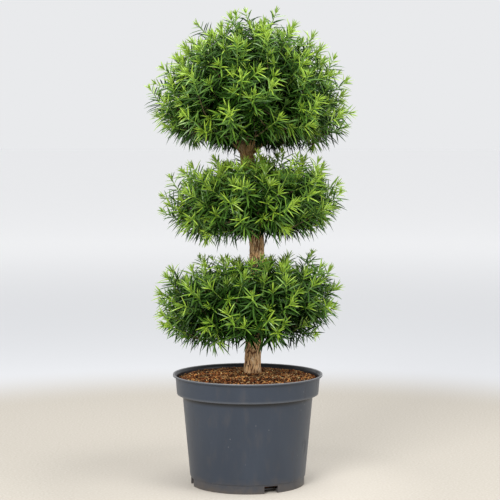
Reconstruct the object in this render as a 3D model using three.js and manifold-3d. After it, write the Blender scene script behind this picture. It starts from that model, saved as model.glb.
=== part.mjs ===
// A clipped yew in a nursery pot: three cushions of needles, one above another, on a single stem.
// Millimetres, +Z up, the front towards -Y. The origin is the middle of the pot's underside.
import * as THREE from "three";
import { mergeVertices } from "three/addons/utils/BufferGeometryUtils.js";
import Module from "manifold-3d";

const wasm = await Module();
wasm.setup();

// Clearance where two pieces meet
const GAP = 0.3;

const POT = {
  height: 192,
  sides: 32,
  wall: 2,
  lipRadius: 130,
  lipHeight: 4.2,
  lipWidth: 3.2,
  bandBottom: 157,
  bandRadiusTop: 125,
  bandRadiusBottom: 122.5,
  wallRadiusTop: 113,
  wallRadiusBottom: 100,
  footRadius: 98.4,
  footHeight: 15,
  padRadius: 78,
  channelHeight: 4,
  channelInner: 82,
  channelOuter: 90,
  ringInner: 94,
  notchWidth: 25,
  notchHeight: 12.5,
  notchAngles: [-66, 60, -168],
};

const COMPOST = {
  edgeHeight: 182.5,
  moundHeight: 192,
  moundRadius: 40,
  slopeShares: [
    [0.15, 0.3],
    [0.5, 0.65],
  ],
};

const TRUNK = {
  path: [
    [8, 12, 192.3],
    [9, 11.5, 224],
    [13.5, 10, 320],
    [15.7, 9, 414],
    [9, 8.5, 500],
    [-1, 8, 566],
    [-3, 8, 588],
  ],
  footRadius: 13.5,
  topRadius: 11.3,
  flare: 1.5,
  flareHeight: 14,
  flutes: 5,
  fluteDepth: 0.09,
  sides: 12,
  rings: 18,
};

// Each cushion is measured to its needle tips, from its centre at the widest level. The two squareness
// exponents bend its outline from round (2) towards boxy, above and below that level. The mouth is the
// hollow underneath, round the stem, that the boughs grow up into.
const CUSHIONS = [
  {
    name: "lower",
    centre: [0, 8, 318],
    tiltSide: -3.5,
    tiltFront: 0,
    radius: 164,
    rise: 76,
    drop: 80,
    squareAbove: 3.6,
    squareBelow: 2.3,
    mouthRadius: 62,
    ceilingRadius: 26,
    ceilingHeight: 8,
    sprays: 70,
    seed: 11,
    boughs: { count: 5, turn: 20, foot: 268, footRadius: 5, tipRadius: 3.8, reach: 0.55 },
  },
  {
    name: "middle",
    centre: [12, 8, 488],
    tiltSide: -3,
    tiltFront: 0,
    radius: 155,
    rise: 81,
    drop: 68,
    squareAbove: 3,
    squareBelow: 2.3,
    mouthRadius: 56,
    ceilingRadius: 26,
    ceilingHeight: 8,
    sprays: 64,
    seed: 23,
    boughs: { count: 5, turn: 56, foot: 446, footRadius: 4.8, tipRadius: 3.6, reach: 0.55 },
  },
  {
    name: "top",
    centre: [6, 8, 652],
    tiltSide: 2,
    tiltFront: -4,
    radius: 173,
    rise: 165,
    drop: 72,
    squareAbove: 1.85,
    squareBelow: 2.9,
    mouthRadius: 78,
    ceilingRadius: 34,
    ceilingHeight: 26,
    sprays: 104,
    seed: 37,
    boughs: { count: 4, turn: 16, foot: 570, footRadius: 6.2, tipRadius: 4.8, reach: 0.5 },
    leader: { foot: 580, footRadius: 7.5 },
  },
];

const CORE = {
  insetSide: 17,
  insetTop: 17,
  insetBottom: 13,
  trunkClearance: 3,
  sides: 18,
  stepsAbove: 5,
  stepsBelow: 4,
  lowestStep: 54,
};

const BOUGH = {
  sides: 7,
  rings: 3,
  sag: 0.16,
  tipShortOfCore: 5,
  stemSunk: 16,
};

const SPRAY = {
  sunk: 8,
  needleRings: 2,
  rootRadius: 3.8,
  tipRadius: 2.4,
  needleLength: 24,
  shortestNeedle: 8,
  shortestStem: 9,
  endNeedleLength: 12,
  leanLow: 16,
  leanHigh: 56,
  lift: 0.35,
  levelBelow: 0.5,
  splay: 0.4,
  splayRadius: 60,
  bearingSpread: 0.5,
  leanSpread: 0.3,
  shortest: 0.8,
  mouthMargin: 16,
  limbMargin: 4,
};

const FINISH = {
  pot: { color: 0x4a515d, roughness: 0.55, metalness: 0 },
  compost: { color: 0x6e4f36, roughness: 0.95, metalness: 0 },
  bark: { color: 0x8a6a4a, roughness: 0.85, metalness: 0 },
  needles: { color: 0x4e7a2c, roughness: 0.5, metalness: 0 },
};

const GOLDEN_ANGLE = Math.PI * (3 - Math.sqrt(5));
const UP = new THREE.Vector3(0, 0, 1);

// A repeatable stream of numbers between 0 and 1
function seededRandom(seed) {
  let state = seed >>> 0;
  return () => {
    state = (state + 0x6d2b79f5) >>> 0;
    let mixed = Math.imul(state ^ (state >>> 15), state | 1);
    mixed ^= mixed + Math.imul(mixed ^ (mixed >>> 7), mixed | 61);
    return ((mixed ^ (mixed >>> 14)) >>> 0) / 4294967296;
  };
}

function solidFrom(geometry) {
  const bare = geometry.clone();
  bare.deleteAttribute("normal");
  bare.deleteAttribute("uv");
  const merged = mergeVertices(bare, 1e-4);
  const vertProperties = Float32Array.from(merged.attributes.position.array);
  const triVerts = Uint32Array.from(merged.index.array);
  return new wasm.Manifold(new wasm.Mesh({ numProp: 3, vertProperties, triVerts }));
}

function geometryFrom(solid) {
  const mesh = solid.getMesh();
  const geometry = new THREE.BufferGeometry();
  geometry.setAttribute("position", new THREE.BufferAttribute(mesh.vertProperties.slice(), 3));
  geometry.setIndex(new THREE.BufferAttribute(mesh.triVerts.slice(), 1));
  geometry.computeVertexNormals();
  return geometry;
}

// The one outer body of a solid: loose scraps are dropped and sealed hollows filled
function outerBody(solid) {
  const bodies = solid.decompose();
  return bodies.reduce((largest, body) => (body.volume() > largest.volume() ? body : largest));
}

// A body turned round the upright axis from its half profile of [radius, height] points
function turned(profile, sides) {
  const points = profile.map(([radius, height]) => new THREE.Vector2(radius, height));
  return new THREE.LatheGeometry(points, sides).rotateX(Math.PI / 2);
}

// A tapering limb: a closed cylinder whose rings are set square to a curve and scaled to its radius
function limb(curve, radiusAt, sides, rings) {
  const geometry = new THREE.CylinderGeometry(1, 1, 1, sides, rings);
  const frames = curve.computeFrenetFrames(rings);
  const position = geometry.attributes.position;
  const corner = new THREE.Vector3();
  for (let i = 0; i < position.count; i++) {
    corner.fromBufferAttribute(position, i);
    const along = corner.y + 0.5;
    const ring = Math.round(along * rings);
    const radius = radiusAt(along, Math.atan2(corner.z, corner.x));
    const placed = curve.getPointAt(along);
    placed.addScaledVector(frames.normals[ring], corner.x * radius);
    placed.addScaledVector(frames.binormals[ring], -corner.z * radius);
    position.setXYZ(i, placed.x, placed.y, placed.z);
  }
  return geometry;
}

function namedMesh(name, geometry, finish) {
  const mesh = new THREE.Mesh(geometry, new THREE.MeshStandardMaterial(finish));
  mesh.name = name;
  return mesh;
}

// The lip's rounded nose, from its underside over to its top
function lipNose() {
  return [-90, -45, 0, 45, 90].map((degrees) => {
    const angle = THREE.MathUtils.degToRad(degrees);
    const radius = POT.lipRadius + (POT.lipWidth / 2) * (Math.cos(angle) - 1);
    return [radius, POT.height + (POT.lipHeight / 2) * (Math.sin(angle) - 1)];
  });
}

// Pot: a tapered wall under a stepped-out band with a lip, on a foot ring and a flat middle pad
function potProfile() {
  const lipBottom = POT.height - POT.lipHeight;
  const floor = POT.wall + POT.channelHeight;
  return [
    [0, 0],
    [POT.padRadius, 0],
    [POT.channelInner, POT.channelHeight],
    [POT.channelOuter, POT.channelHeight],
    [POT.ringInner, 0],
    [POT.footRadius, 0],
    [POT.footRadius, POT.footHeight],
    [POT.wallRadiusBottom, POT.footHeight],
    [POT.wallRadiusTop, POT.bandBottom],
    [POT.bandRadiusBottom, POT.bandBottom],
    [POT.bandRadiusTop, lipBottom],
    ...lipNose(),
    [POT.lipRadius - POT.lipWidth, POT.height - POT.lipHeight / 4],
    [POT.bandRadiusTop - POT.wall, lipBottom],
    [POT.bandRadiusBottom - POT.wall, POT.bandBottom + POT.wall],
    [POT.wallRadiusTop - POT.wall, POT.bandBottom + POT.wall],
    [POT.wallRadiusBottom - POT.wall, POT.footHeight + POT.wall],
    [POT.footRadius - POT.wall, POT.footHeight],
    [POT.footRadius - POT.wall, floor + POT.wall],
    [POT.channelOuter, floor],
    [POT.channelInner, floor],
    [POT.padRadius, POT.wall],
    [0, POT.wall],
  ];
}

// Drain notches are open at the ground and cut through the foot ring into the pot
function makePot() {
  const depth = POT.wallRadiusBottom - POT.channelInner;
  const middle = POT.wallRadiusBottom + POT.wall - depth / 2;
  const notches = POT.notchAngles.map((degrees) => {
    const notch = new THREE.BoxGeometry(depth, POT.notchWidth, 2 * POT.notchHeight);
    notch.translate(middle, 0, 0).rotateZ(THREE.MathUtils.degToRad(degrees));
    return solidFrom(notch);
  });
  const shell = solidFrom(turned(potProfile(), POT.sides));
  const drained = notches.reduce((pot, notch) => pot.subtract(notch), shell);
  return namedMesh("pot", geometryFrom(drained), FINISH.pot);
}

// Compost: fills the pot to just under the lip and mounds up to a level patch round the trunk
function makeCompost() {
  const clear = POT.wall + GAP;
  const floor = POT.wall + POT.channelHeight + GAP;
  const bandHeight = POT.height - POT.lipHeight - POT.bandBottom;
  const bandShare = (COMPOST.edgeHeight - POT.bandBottom) / bandHeight;
  const edgeRadius = THREE.MathUtils.lerp(POT.bandRadiusBottom, POT.bandRadiusTop, bandShare) - clear - GAP;
  const moundFall = COMPOST.moundHeight - COMPOST.edgeHeight;
  const slope = COMPOST.slopeShares.map(([across, up]) => [
    THREE.MathUtils.lerp(edgeRadius, COMPOST.moundRadius, across),
    COMPOST.edgeHeight + up * moundFall,
  ]);
  const profile = [
    [0, clear],
    [POT.padRadius - GAP, clear],
    [POT.channelInner - GAP, floor],
    [POT.channelOuter - GAP, floor],
    [POT.footRadius - clear, floor + POT.wall],
    [POT.footRadius - clear, POT.footHeight + GAP],
    [POT.wallRadiusBottom - clear, POT.footHeight + clear],
    [POT.wallRadiusTop - clear, POT.bandBottom + clear],
    [POT.bandRadiusBottom - clear, POT.bandBottom + clear],
    [edgeRadius, COMPOST.edgeHeight],
    ...slope,
    [COMPOST.moundRadius, COMPOST.moundHeight],
    [0, COMPOST.moundHeight],
  ];
  return namedMesh("compost", turned(profile, POT.sides), FINISH.compost);
}

const trunkCurve = new THREE.CatmullRomCurve3(TRUNK.path.map((point) => new THREE.Vector3(...point)));
const trunkLength = trunkCurve.getLength();

function trunkRadius(along, angle) {
  const spread = Math.exp((-along * trunkLength) / TRUNK.flareHeight);
  const taper = THREE.MathUtils.lerp(TRUNK.footRadius, TRUNK.topRadius, along);
  const flute = 1 + TRUNK.fluteDepth * spread * Math.cos(TRUNK.flutes * angle);
  return (taper + TRUNK.flare * spread) * flute;
}

// The trunk, grown all round by a clearance. Its foot is cut level with the ground.
function trunkGeometry(clearance) {
  const radiusAt = (along, angle) => trunkRadius(along, angle) + clearance;
  const geometry = limb(trunkCurve, radiusAt, TRUNK.sides, TRUNK.rings);
  const position = geometry.attributes.position;
  const ground = TRUNK.path[0][2];
  const end = trunkCurve.getPointAt(1);
  const heading = trunkCurve.getTangentAt(1);
  const ringSpacing = trunkLength / TRUNK.rings;
  const corner = new THREE.Vector3();
  for (let i = 0; i < position.count; i++) {
    corner.fromBufferAttribute(position, i);
    if (corner.z < ground + ringSpacing / 2) corner.z = ground;
    if (end.clone().sub(corner).dot(heading) < ringSpacing / 2) corner.addScaledVector(heading, clearance);
    position.setXYZ(i, corner.x, corner.y, corner.z);
  }
  return geometry;
}

// Where a height falls along the trunk, as a share of its length
function trunkShareAt(height) {
  let low = 0;
  let high = 1;
  for (let step = 0; step < 24; step++) {
    const middle = (low + high) / 2;
    if (trunkCurve.getPointAt(middle).z < height) low = middle;
    else high = middle;
  }
  return low;
}

// A cushion's outline drawn in by the core's insets
function coreOf(cushion) {
  return {
    ...cushion,
    radius: cushion.radius - CORE.insetSide,
    rise: cushion.rise - CORE.insetTop,
    drop: cushion.drop - CORE.insetBottom,
  };
}

function halfHeight(form, height) {
  return height < 0 ? form.drop : form.rise;
}

function squareness(form, height) {
  return height < 0 ? form.squareBelow : form.squareAbove;
}

// The [radius, height] of a form's outline at an elevation angle
function outlineAt(form, elevation) {
  const power = 2 / squareness(form, elevation);
  const height = halfHeight(form, elevation) * Math.abs(Math.sin(elevation)) ** power;
  return [form.radius * Math.cos(elevation) ** power, Math.sign(elevation) * height];
}

// How full of the form a point is: under 1 inside it, 1 on its outline
function fullness(form, point) {
  const power = squareness(form, point.z);
  const across = Math.hypot(point.x, point.y) / form.radius;
  const upright = Math.abs(point.z) / halfHeight(form, point.z);
  return across ** power + upright ** power;
}

function outwardAt(form, point) {
  const power = squareness(form, point.z) - 1;
  const radius = Math.hypot(point.x, point.y);
  const across = (radius / form.radius) ** power / form.radius;
  const reach = halfHeight(form, point.z);
  const upright = Math.sign(point.z) * (Math.abs(point.z) / reach) ** power / reach;
  const bearing = Math.atan2(point.y, point.x);
  return new THREE.Vector3(across * Math.cos(bearing), across * Math.sin(bearing), upright).normalize();
}

// Elevations that share a form's surface out evenly, from its lowest step to its top
function evenElevations(form, count) {
  const slices = 240;
  const lowest = -THREE.MathUtils.degToRad(CORE.lowestStep + 12);
  const elevations = [];
  const areas = [0];
  for (let i = 0; i <= slices; i++) {
    elevations.push(THREE.MathUtils.lerp(lowest, Math.PI / 2 - 1e-3, i / slices));
  }
  for (let i = 1; i <= slices; i++) {
    const [innerRadius, innerHeight] = outlineAt(form, elevations[i - 1]);
    const [outerRadius, outerHeight] = outlineAt(form, elevations[i]);
    const slant = Math.hypot(outerRadius - innerRadius, outerHeight - innerHeight);
    areas.push(areas[i - 1] + slant * (innerRadius + outerRadius));
  }
  return Array.from({ length: count }, (_, k) => {
    const wanted = (areas[slices] * (k + 0.5)) / count;
    return elevations[areas.findIndex((area) => area >= wanted)];
  });
}

// Core: a smaller cushion with a funnel underneath, cut clear of the trunk
function coreSolid(core, trunkHere) {
  const profile = [[0, core.rise]];
  for (let step = 1; step <= CORE.stepsAbove; step++) {
    profile.push(outlineAt(core, (Math.PI / 2) * (1 - step / CORE.stepsAbove)));
  }
  for (let step = 1; step < CORE.stepsBelow; step++) {
    const share = step / (CORE.stepsBelow - 1);
    profile.push(outlineAt(core, -THREE.MathUtils.degToRad(CORE.lowestStep * share)));
  }
  profile.push([core.mouthRadius, -core.drop]);
  profile.push([core.ceilingRadius, core.ceilingHeight]);
  profile.push([0, core.ceilingHeight]);
  return solidFrom(turned(profile.reverse(), CORE.sides)).subtract(trunkHere);
}

// A spray: a three-sided twig from a sunk root, with the forward faces of its rings drawn out into needles.
// A needle is clipped where it would leave the cushion, and one with no room stays a plain face.
function sprayGeometry(cushion, root, direction, length, turn) {
  const aside = Math.abs(direction.z) < 0.9 ? UP : new THREE.Vector3(1, 0, 0);
  const side = new THREE.Vector3().crossVectors(direction, aside).normalize();
  const across = new THREE.Vector3().crossVectors(direction, side);
  const sixth = Math.PI / 3;
  const spoke = (sixths) => {
    const angle = turn + sixths * sixth;
    return side.clone().multiplyScalar(Math.cos(angle)).addScaledVector(across, Math.sin(angle));
  };
  const rings = SPRAY.needleRings + 1;
  const heights = [-SPRAY.sunk];
  for (let ring = 0; ring < rings; ring++) heights.push((length * (ring + 0.4)) / rings);
  const corners = heights.map((height, ring) => {
    const radius = THREE.MathUtils.lerp(SPRAY.rootRadius, SPRAY.tipRadius, ring / rings);
    const middle = root.clone().addScaledVector(direction, height);
    return [0, 1, 2].map((k) => middle.clone().addScaledVector(spoke(ring + 2 * k), radius));
  });
  const positions = [];
  const face = (a, b, c) => positions.push(...a.toArray(), ...b.toArray(), ...c.toArray());
  const needle = (a, b, c, heading, longest) => {
    const tip = new THREE.Vector3().add(a).add(b).add(c).divideScalar(3);
    const reach = Math.min(longest, reachInside(cushion, tip, heading));
    if (reach < SPRAY.shortestNeedle) {
      face(a, b, c);
      return;
    }
    tip.addScaledVector(heading, reach);
    face(a, b, tip);
    face(b, c, tip);
    face(c, a, tip);
  };
  face(corners[0][0], corners[0][2], corners[0][1]);
  for (let ring = 0; ring < rings; ring++) {
    const lean = THREE.MathUtils.degToRad(THREE.MathUtils.lerp(SPRAY.leanLow, SPRAY.leanHigh, ring / rings));
    for (let k = 0; k < 3; k++) {
      const next = (k + 1) % 3;
      const [a, b] = [corners[ring][k], corners[ring][next]];
      const [c, d] = [corners[ring + 1][k], corners[ring + 1][next]];
      const heading = spoke(ring + 2 * next).multiplyScalar(Math.cos(lean));
      heading.addScaledVector(direction, Math.sin(lean));
      face(a, b, c);
      if (ring === 0) face(c, b, d);
      else needle(c, b, d, heading, SPRAY.needleLength);
    }
  }
  needle(...corners[rings], direction, SPRAY.endNeedleLength);
  const geometry = new THREE.BufferGeometry();
  geometry.setAttribute("position", new THREE.Float32BufferAttribute(positions, 3));
  return geometry;
}

// How far a point can go in a direction before it leaves the cushion
function reachInside(cushion, from, direction) {
  let near = 0;
  let far = 2 * cushion.radius;
  for (let step = 0; step < 30; step++) {
    const middle = (near + far) / 2;
    if (fullness(cushion, from.clone().addScaledVector(direction, middle)) < 1) near = middle;
    else far = middle;
  }
  return near;
}

// Sprays: one after another round the golden angle, climbing from the underside to the top of the core
function spraySolids(cushion, core, limbPoints) {
  const random = seededRandom(cushion.seed);
  const sprays = [];
  evenElevations(core, cushion.sprays).forEach((elevation, k) => {
    const bearing = k * GOLDEN_ANGLE + SPRAY.bearingSpread * (random() - 0.5);
    const [radius, height] = outlineAt(core, elevation);
    const root = new THREE.Vector3(radius * Math.cos(bearing), radius * Math.sin(bearing), height);
    const direction = outwardAt(core, root);
    if (direction.z < 0) direction.z *= SPRAY.levelBelow;
    const splay = SPRAY.splay * Math.max(direction.z, 0) * Math.min(radius / SPRAY.splayRadius, 1);
    direction.addScaledVector(UP, SPRAY.lift);
    direction.x += splay * Math.cos(bearing) + SPRAY.leanSpread * (random() - 0.5);
    direction.y += splay * Math.sin(bearing) + SPRAY.leanSpread * (random() - 0.5);
    direction.normalize();
    const share = THREE.MathUtils.lerp(SPRAY.shortest, 1, random());
    const reach = reachInside(cushion, root, direction) * share;
    const length = Math.max(reach - SPRAY.endNeedleLength, SPRAY.shortestStem);
    const turn = 2 * Math.PI * random();
    if (height < 0 && radius < cushion.mouthRadius + SPRAY.mouthMargin) return;
    const geometry = sprayGeometry(cushion, root, direction, length, turn);
    if (!touchesLimb(geometry, limbPoints)) sprays.push(solidFrom(geometry));
  });
  return sprays;
}

// Whether any corner of a geometry comes within the margin of a limb's row of {point, radius} stations
function touchesLimb(geometry, stations) {
  const position = geometry.attributes.position;
  const corner = new THREE.Vector3();
  const near = ({ point, radius }) => corner.distanceTo(point) < radius + SPRAY.limbMargin;
  for (let i = 0; i < position.count; i++) {
    corner.fromBufferAttribute(position, i);
    if (stations.some(near)) return true;
  }
  return false;
}

// Bough: a limb that leaves the trunk, sags a little and ends short of the core, where its stem goes on
function boughCurve(from, to) {
  const middle = from.clone().lerp(to, 0.5);
  middle.z -= BOUGH.sag * from.distanceTo(to);
  return new THREE.QuadraticBezierCurve3(from, middle, to);
}

// The two ends of a bough on the trunk's axis and on the funnel's wall, for each bough of a cushion
function boughRoutes(cushion, core, toCushion) {
  const { count, turn, foot, footRadius, reach } = cushion.boughs;
  const footPoint = trunkCurve.getPointAt(trunkShareAt(foot)).applyMatrix4(toCushion);
  const wallRadius = THREE.MathUtils.lerp(core.mouthRadius, core.ceilingRadius, reach);
  const wallHeight = THREE.MathUtils.lerp(-core.drop, core.ceilingHeight, reach);
  const routes = Array.from({ length: count }, (_, k) => {
    const bearing = THREE.MathUtils.degToRad(turn) + (2 * Math.PI * k) / count;
    const to = new THREE.Vector3(wallRadius * Math.cos(bearing), wallRadius * Math.sin(bearing), wallHeight);
    return { from: footPoint.clone(), to, footRadius };
  });
  if (cushion.leader) {
    const from = trunkCurve.getPointAt(trunkShareAt(cushion.leader.foot)).applyMatrix4(toCushion);
    const to = new THREE.Vector3(0, 0, core.ceilingHeight);
    routes.push({ from, to, footRadius: cushion.leader.footRadius });
  }
  return routes;
}

// One cushion in its own frame: its boughs, and the mass of core, stems and sprays fused together
function makeCushion(cushion) {
  const group = new THREE.Group();
  group.position.set(...cushion.centre);
  group.rotation.x = THREE.MathUtils.degToRad(cushion.tiltFront);
  group.rotation.y = THREE.MathUtils.degToRad(cushion.tiltSide);
  group.updateMatrix();
  const toCushion = group.matrix.clone().invert();
  const core = coreOf(cushion);
  const trunkTouch = solidFrom(trunkGeometry(GAP).applyMatrix4(toCushion));
  const trunkClear = solidFrom(trunkGeometry(CORE.trunkClearance).applyMatrix4(toCushion));

  const stations = Array.from({ length: 80 }, (_, i) => ({
    point: trunkCurve.getPointAt(i / 79).applyMatrix4(toCushion),
    radius: TRUNK.footRadius,
  }));

  const stems = [];
  const { tipRadius } = cushion.boughs;
  boughRoutes(cushion, core, toCushion).forEach(({ from, to, footRadius }, k) => {
    const tip = to.clone().lerp(from, BOUGH.tipShortOfCore / from.distanceTo(to));
    const curve = boughCurve(from, tip);
    const radiusAt = (along) => THREE.MathUtils.lerp(footRadius, tipRadius, along);
    const bough = solidFrom(limb(curve, radiusAt, BOUGH.sides, BOUGH.rings)).subtract(trunkTouch);
    group.add(namedMesh(`bough_${cushion.name}_${k + 1}`, geometryFrom(outerBody(bough)), FINISH.bark));
    const heading = curve.getTangentAt(1);
    const stemFoot = tip.clone().addScaledVector(heading, GAP);
    const stemEnd = stemFoot.clone().addScaledVector(heading, BOUGH.tipShortOfCore + BOUGH.stemSunk);
    stems.push(solidFrom(limb(new THREE.LineCurve3(stemFoot, stemEnd), () => tipRadius, BOUGH.sides, 1)));
    curve.getPoints(BOUGH.rings * 2).forEach((point) => stations.push({ point, radius: footRadius }));
  });

  const sprays = spraySolids(cushion, core, stations);
  const mass = [...stems, ...sprays].reduce((whole, piece) => whole.add(piece), coreSolid(core, trunkClear));
  group.add(namedMesh(`pompon_${cushion.name}`, geometryFrom(outerBody(mass)), FINISH.needles));
  return group;
}

const plant = new THREE.Group();
plant.add(makePot());
plant.add(makeCompost());
plant.add(namedMesh("trunk", trunkGeometry(0), FINISH.bark));
CUSHIONS.forEach((cushion) => plant.add(makeCushion(cushion)));

export default plant;
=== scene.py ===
"""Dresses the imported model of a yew, clipped into three pompons on one stem, in its pot."""

import logging
import math
from dataclasses import dataclass, replace
from enum import Enum
from itertools import combinations, product

import bpy
import numpy as np
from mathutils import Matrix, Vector, noise


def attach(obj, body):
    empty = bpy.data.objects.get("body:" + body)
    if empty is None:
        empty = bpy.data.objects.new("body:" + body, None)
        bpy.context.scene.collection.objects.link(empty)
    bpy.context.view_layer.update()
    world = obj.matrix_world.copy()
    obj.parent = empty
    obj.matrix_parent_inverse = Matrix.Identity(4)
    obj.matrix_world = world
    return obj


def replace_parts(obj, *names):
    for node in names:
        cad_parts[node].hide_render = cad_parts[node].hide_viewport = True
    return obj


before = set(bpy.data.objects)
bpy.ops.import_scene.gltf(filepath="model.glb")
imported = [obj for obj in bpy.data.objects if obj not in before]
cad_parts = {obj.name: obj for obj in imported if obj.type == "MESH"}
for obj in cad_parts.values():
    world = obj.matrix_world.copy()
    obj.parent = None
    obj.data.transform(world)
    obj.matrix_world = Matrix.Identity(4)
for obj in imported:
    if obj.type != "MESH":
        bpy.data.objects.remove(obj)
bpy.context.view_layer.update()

LOG = logging.getLogger("topiary")
MM = 0.001
BODY = "root"
RELIEF = "relief"
FULL_TURN = 2.0 * math.pi
GOLDEN_RATIO = (1.0 + math.sqrt(5.0)) / 2.0
GOLDEN_ANGLE = math.pi * (3.0 - math.sqrt(5.0))
UP = np.array((0.0, 0.0, 1.0))
POT_HEIGHT = 192.0
BAND_BOTTOM = 157.0
BOUGH_STATIONS = 24

Array = np.ndarray
Chance = np.random.Generator
Material = bpy.types.Material
Socket = bpy.types.NodeSocket
Range = tuple[float, float]
Place = tuple[float, float, float]
Colour = tuple[float, float, float, float]
Shoots = tuple[Array, Array, Chance]


class Slot(Enum):
    """The record's material slots."""

    POT = "pot_plastic"
    COMPOST = "compost"
    BARK = "bark"
    NEEDLES = "needles"


def paint(red: int, green: int, blue: int) -> Colour:
    """Turn a paint colour into a linear one.

    Args:
        red: Red, from 0 to 255.
        green: Green, from 0 to 255.
        blue: Blue, from 0 to 255.

    Returns:
        The linear colour, with an alpha of 1.
    """
    shares = [part / 255.0 for part in (red, green, blue)]
    linear = [s / 12.92 if s <= 0.04045 else ((s + 0.055) / 1.055) ** 2.4 for s in shares]
    return (*linear, 1.0)


def unit(vectors: Array) -> Array:
    """Scale vectors, in the last axis, to a length of 1."""
    return vectors / np.linalg.norm(vectors, axis=-1, keepdims=True)


def around(bearings: Array) -> Array:
    """Give level unit vectors at bearings."""
    return np.stack([np.cos(bearings), np.sin(bearings), np.zeros_like(bearings)], axis=-1)


def ring_angles(sides: int) -> Array:
    """Share a full turn out among sides."""
    return np.linspace(0.0, FULL_TURN, sides, endpoint=False)


def cross_axes(headings: Array) -> tuple[Array, Array]:
    """Find two axes across each heading.

    Args:
        headings: Unit vectors in the last axis.

    Returns:
        The two unit vectors, square to the heading and to each other.
    """
    steep = np.abs(headings[..., 2:3]) > 0.9
    aside = np.where(steep, np.array((1.0, 0.0, 0.0)), UP)
    side = unit(np.cross(headings, aside))
    return side, np.cross(headings, side)


def spokes(side: Array, across: Array, angles: Array) -> Array:
    """Turn from one axis towards the other by angles."""
    return side * np.cos(angles)[..., None] + across * np.sin(angles)[..., None]


def square_to(vectors: Array, headings: Array) -> Array:
    """Give the unit vectors nearest to some that are square to headings."""
    return unit(vectors - headings * np.einsum("ij,ij->i", vectors, headings)[:, None])


def nearest(points: Array, targets: Array) -> Array:
    """Give the index of the nearest target to each point."""
    return np.linalg.norm(points[:, None, :] - targets[None, :, :], axis=2).argmin(axis=1)


def smooth_step(values: Array | float) -> Array | float:
    """Ease values from 0 to 1, flat at both ends."""
    held = np.clip(values, 0.0, 1.0)
    return held * held * (3.0 - 2.0 * held)


def drawn(rng: Chance, limits: Range, shape: int | tuple[int, ...], power: float = 1.0) -> Array:
    """Draw numbers between limits.

    Args:
        rng: The seeded source of chance.
        limits: The least and the greatest number.
        shape: How many there are, along each axis.
        power: Over 1 it favours the lower ones.

    Returns:
        The numbers.
    """
    low, high = limits
    return low + (high - low) * rng.random(shape) ** power


def shade(mesh: bpy.types.Mesh, smooth: float | None) -> None:
    """Shade a mesh.

    Args:
        mesh: The mesh.
        smooth: Faces that meet within this angle, in degrees, shade as one. None keeps every facet.
    """
    mesh.polygons.foreach_set("use_smooth", [smooth is not None] * len(mesh.polygons))
    if smooth is not None:
        mesh.set_sharp_from_angle(angle=math.radians(smooth))


def linked(name: str, data: bpy.types.ID) -> bpy.types.Object:
    """Put a new object into the scene.

    Args:
        name: Its name.
        data: Its mesh, camera or light.

    Returns:
        The new object.
    """
    made = bpy.data.objects.new(name, data)
    bpy.context.collection.objects.link(made)
    return made


@dataclass
class Surface:
    """Corners and faces of a mesh in millimetres, before it becomes a piece."""

    points: Array
    faces: list[Array]
    face_slots: Array | None = None
    relief: Array | None = None

    @classmethod
    def joined(cls, parts: list["Surface"]) -> "Surface":
        """Join surfaces into one.

        Args:
            parts: Surfaces with no face slots.

        Returns:
            One surface with all their corners and faces.
        """
        starts = np.cumsum([0] + [len(part.points) for part in parts])
        faces = [rows + start for part, start in zip(parts, starts) for rows in part.faces]
        return cls(np.concatenate([part.points for part in parts]), faces)

    def mesh(self, name: str) -> bpy.types.Mesh:
        """Turn the surface into a mesh in metres.

        Args:
            name: The mesh's name.

        Returns:
            The new mesh, with its face slots and its relief.
        """
        made = bpy.data.meshes.new(name)
        corners = np.concatenate([rows.ravel() for rows in self.faces]).astype(np.int32)
        sides = np.concatenate([np.full(len(rows), rows.shape[1]) for rows in self.faces])
        made.vertices.add(len(self.points))
        made.vertices.foreach_set("co", (self.points * MM).astype(np.float32).ravel())
        made.loops.add(len(corners))
        made.loops.foreach_set("vertex_index", corners)
        made.polygons.add(len(sides))
        made.polygons.foreach_set("loop_start", (np.cumsum(sides) - sides).astype(np.int32))
        if self.face_slots is not None:
            made.polygons.foreach_set("material_index", self.face_slots.astype(np.int32))
        made.update(calc_edges=True)
        if self.relief is not None:
            layer = made.attributes.new(RELIEF, "FLOAT", "POINT")
            layer.data.foreach_set("value", self.relief.astype(np.float32))
        return made

    def piece(self, name: str, slot: Slot, materials: list[Material],
              smooth: float | None = None) -> bpy.types.Object:
        """Make the surface into a piece that rides on the body.

        Args:
            name: The piece's name.
            slot: The record's slot that its finish stands for. Not used.
            materials: Its finishes, in the order of the face slots.
            smooth: The angle that shades as one, as in shade.

        Returns:
            The new object.
        """
        mesh = self.mesh(name)
        for material in materials:
            mesh.materials.append(material)
        shade(mesh, smooth)
        made = linked(name, mesh)
        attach(made, BODY)
        LOG.info("%s: %d faces", name, len(mesh.polygons))
        return made


def bends(starts: Array, middles: Array, ends: Array, stations: int) -> Array:
    """Draw a quadratic bend between each start and end.

    Args:
        starts: First points.
        middles: Points that each bend leans towards.
        ends: Last points.
        stations: How many points a bend has.

    Returns:
        Points as bends by stations by coordinates.
    """
    share = np.linspace(0.0, 1.0, stations)[None, :, None]
    first, middle, last = (rows[:, None, :] for rows in (starts, middles, ends))
    return (1 - share) ** 2 * first + 2 * share * (1 - share) * middle + share**2 * last


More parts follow.
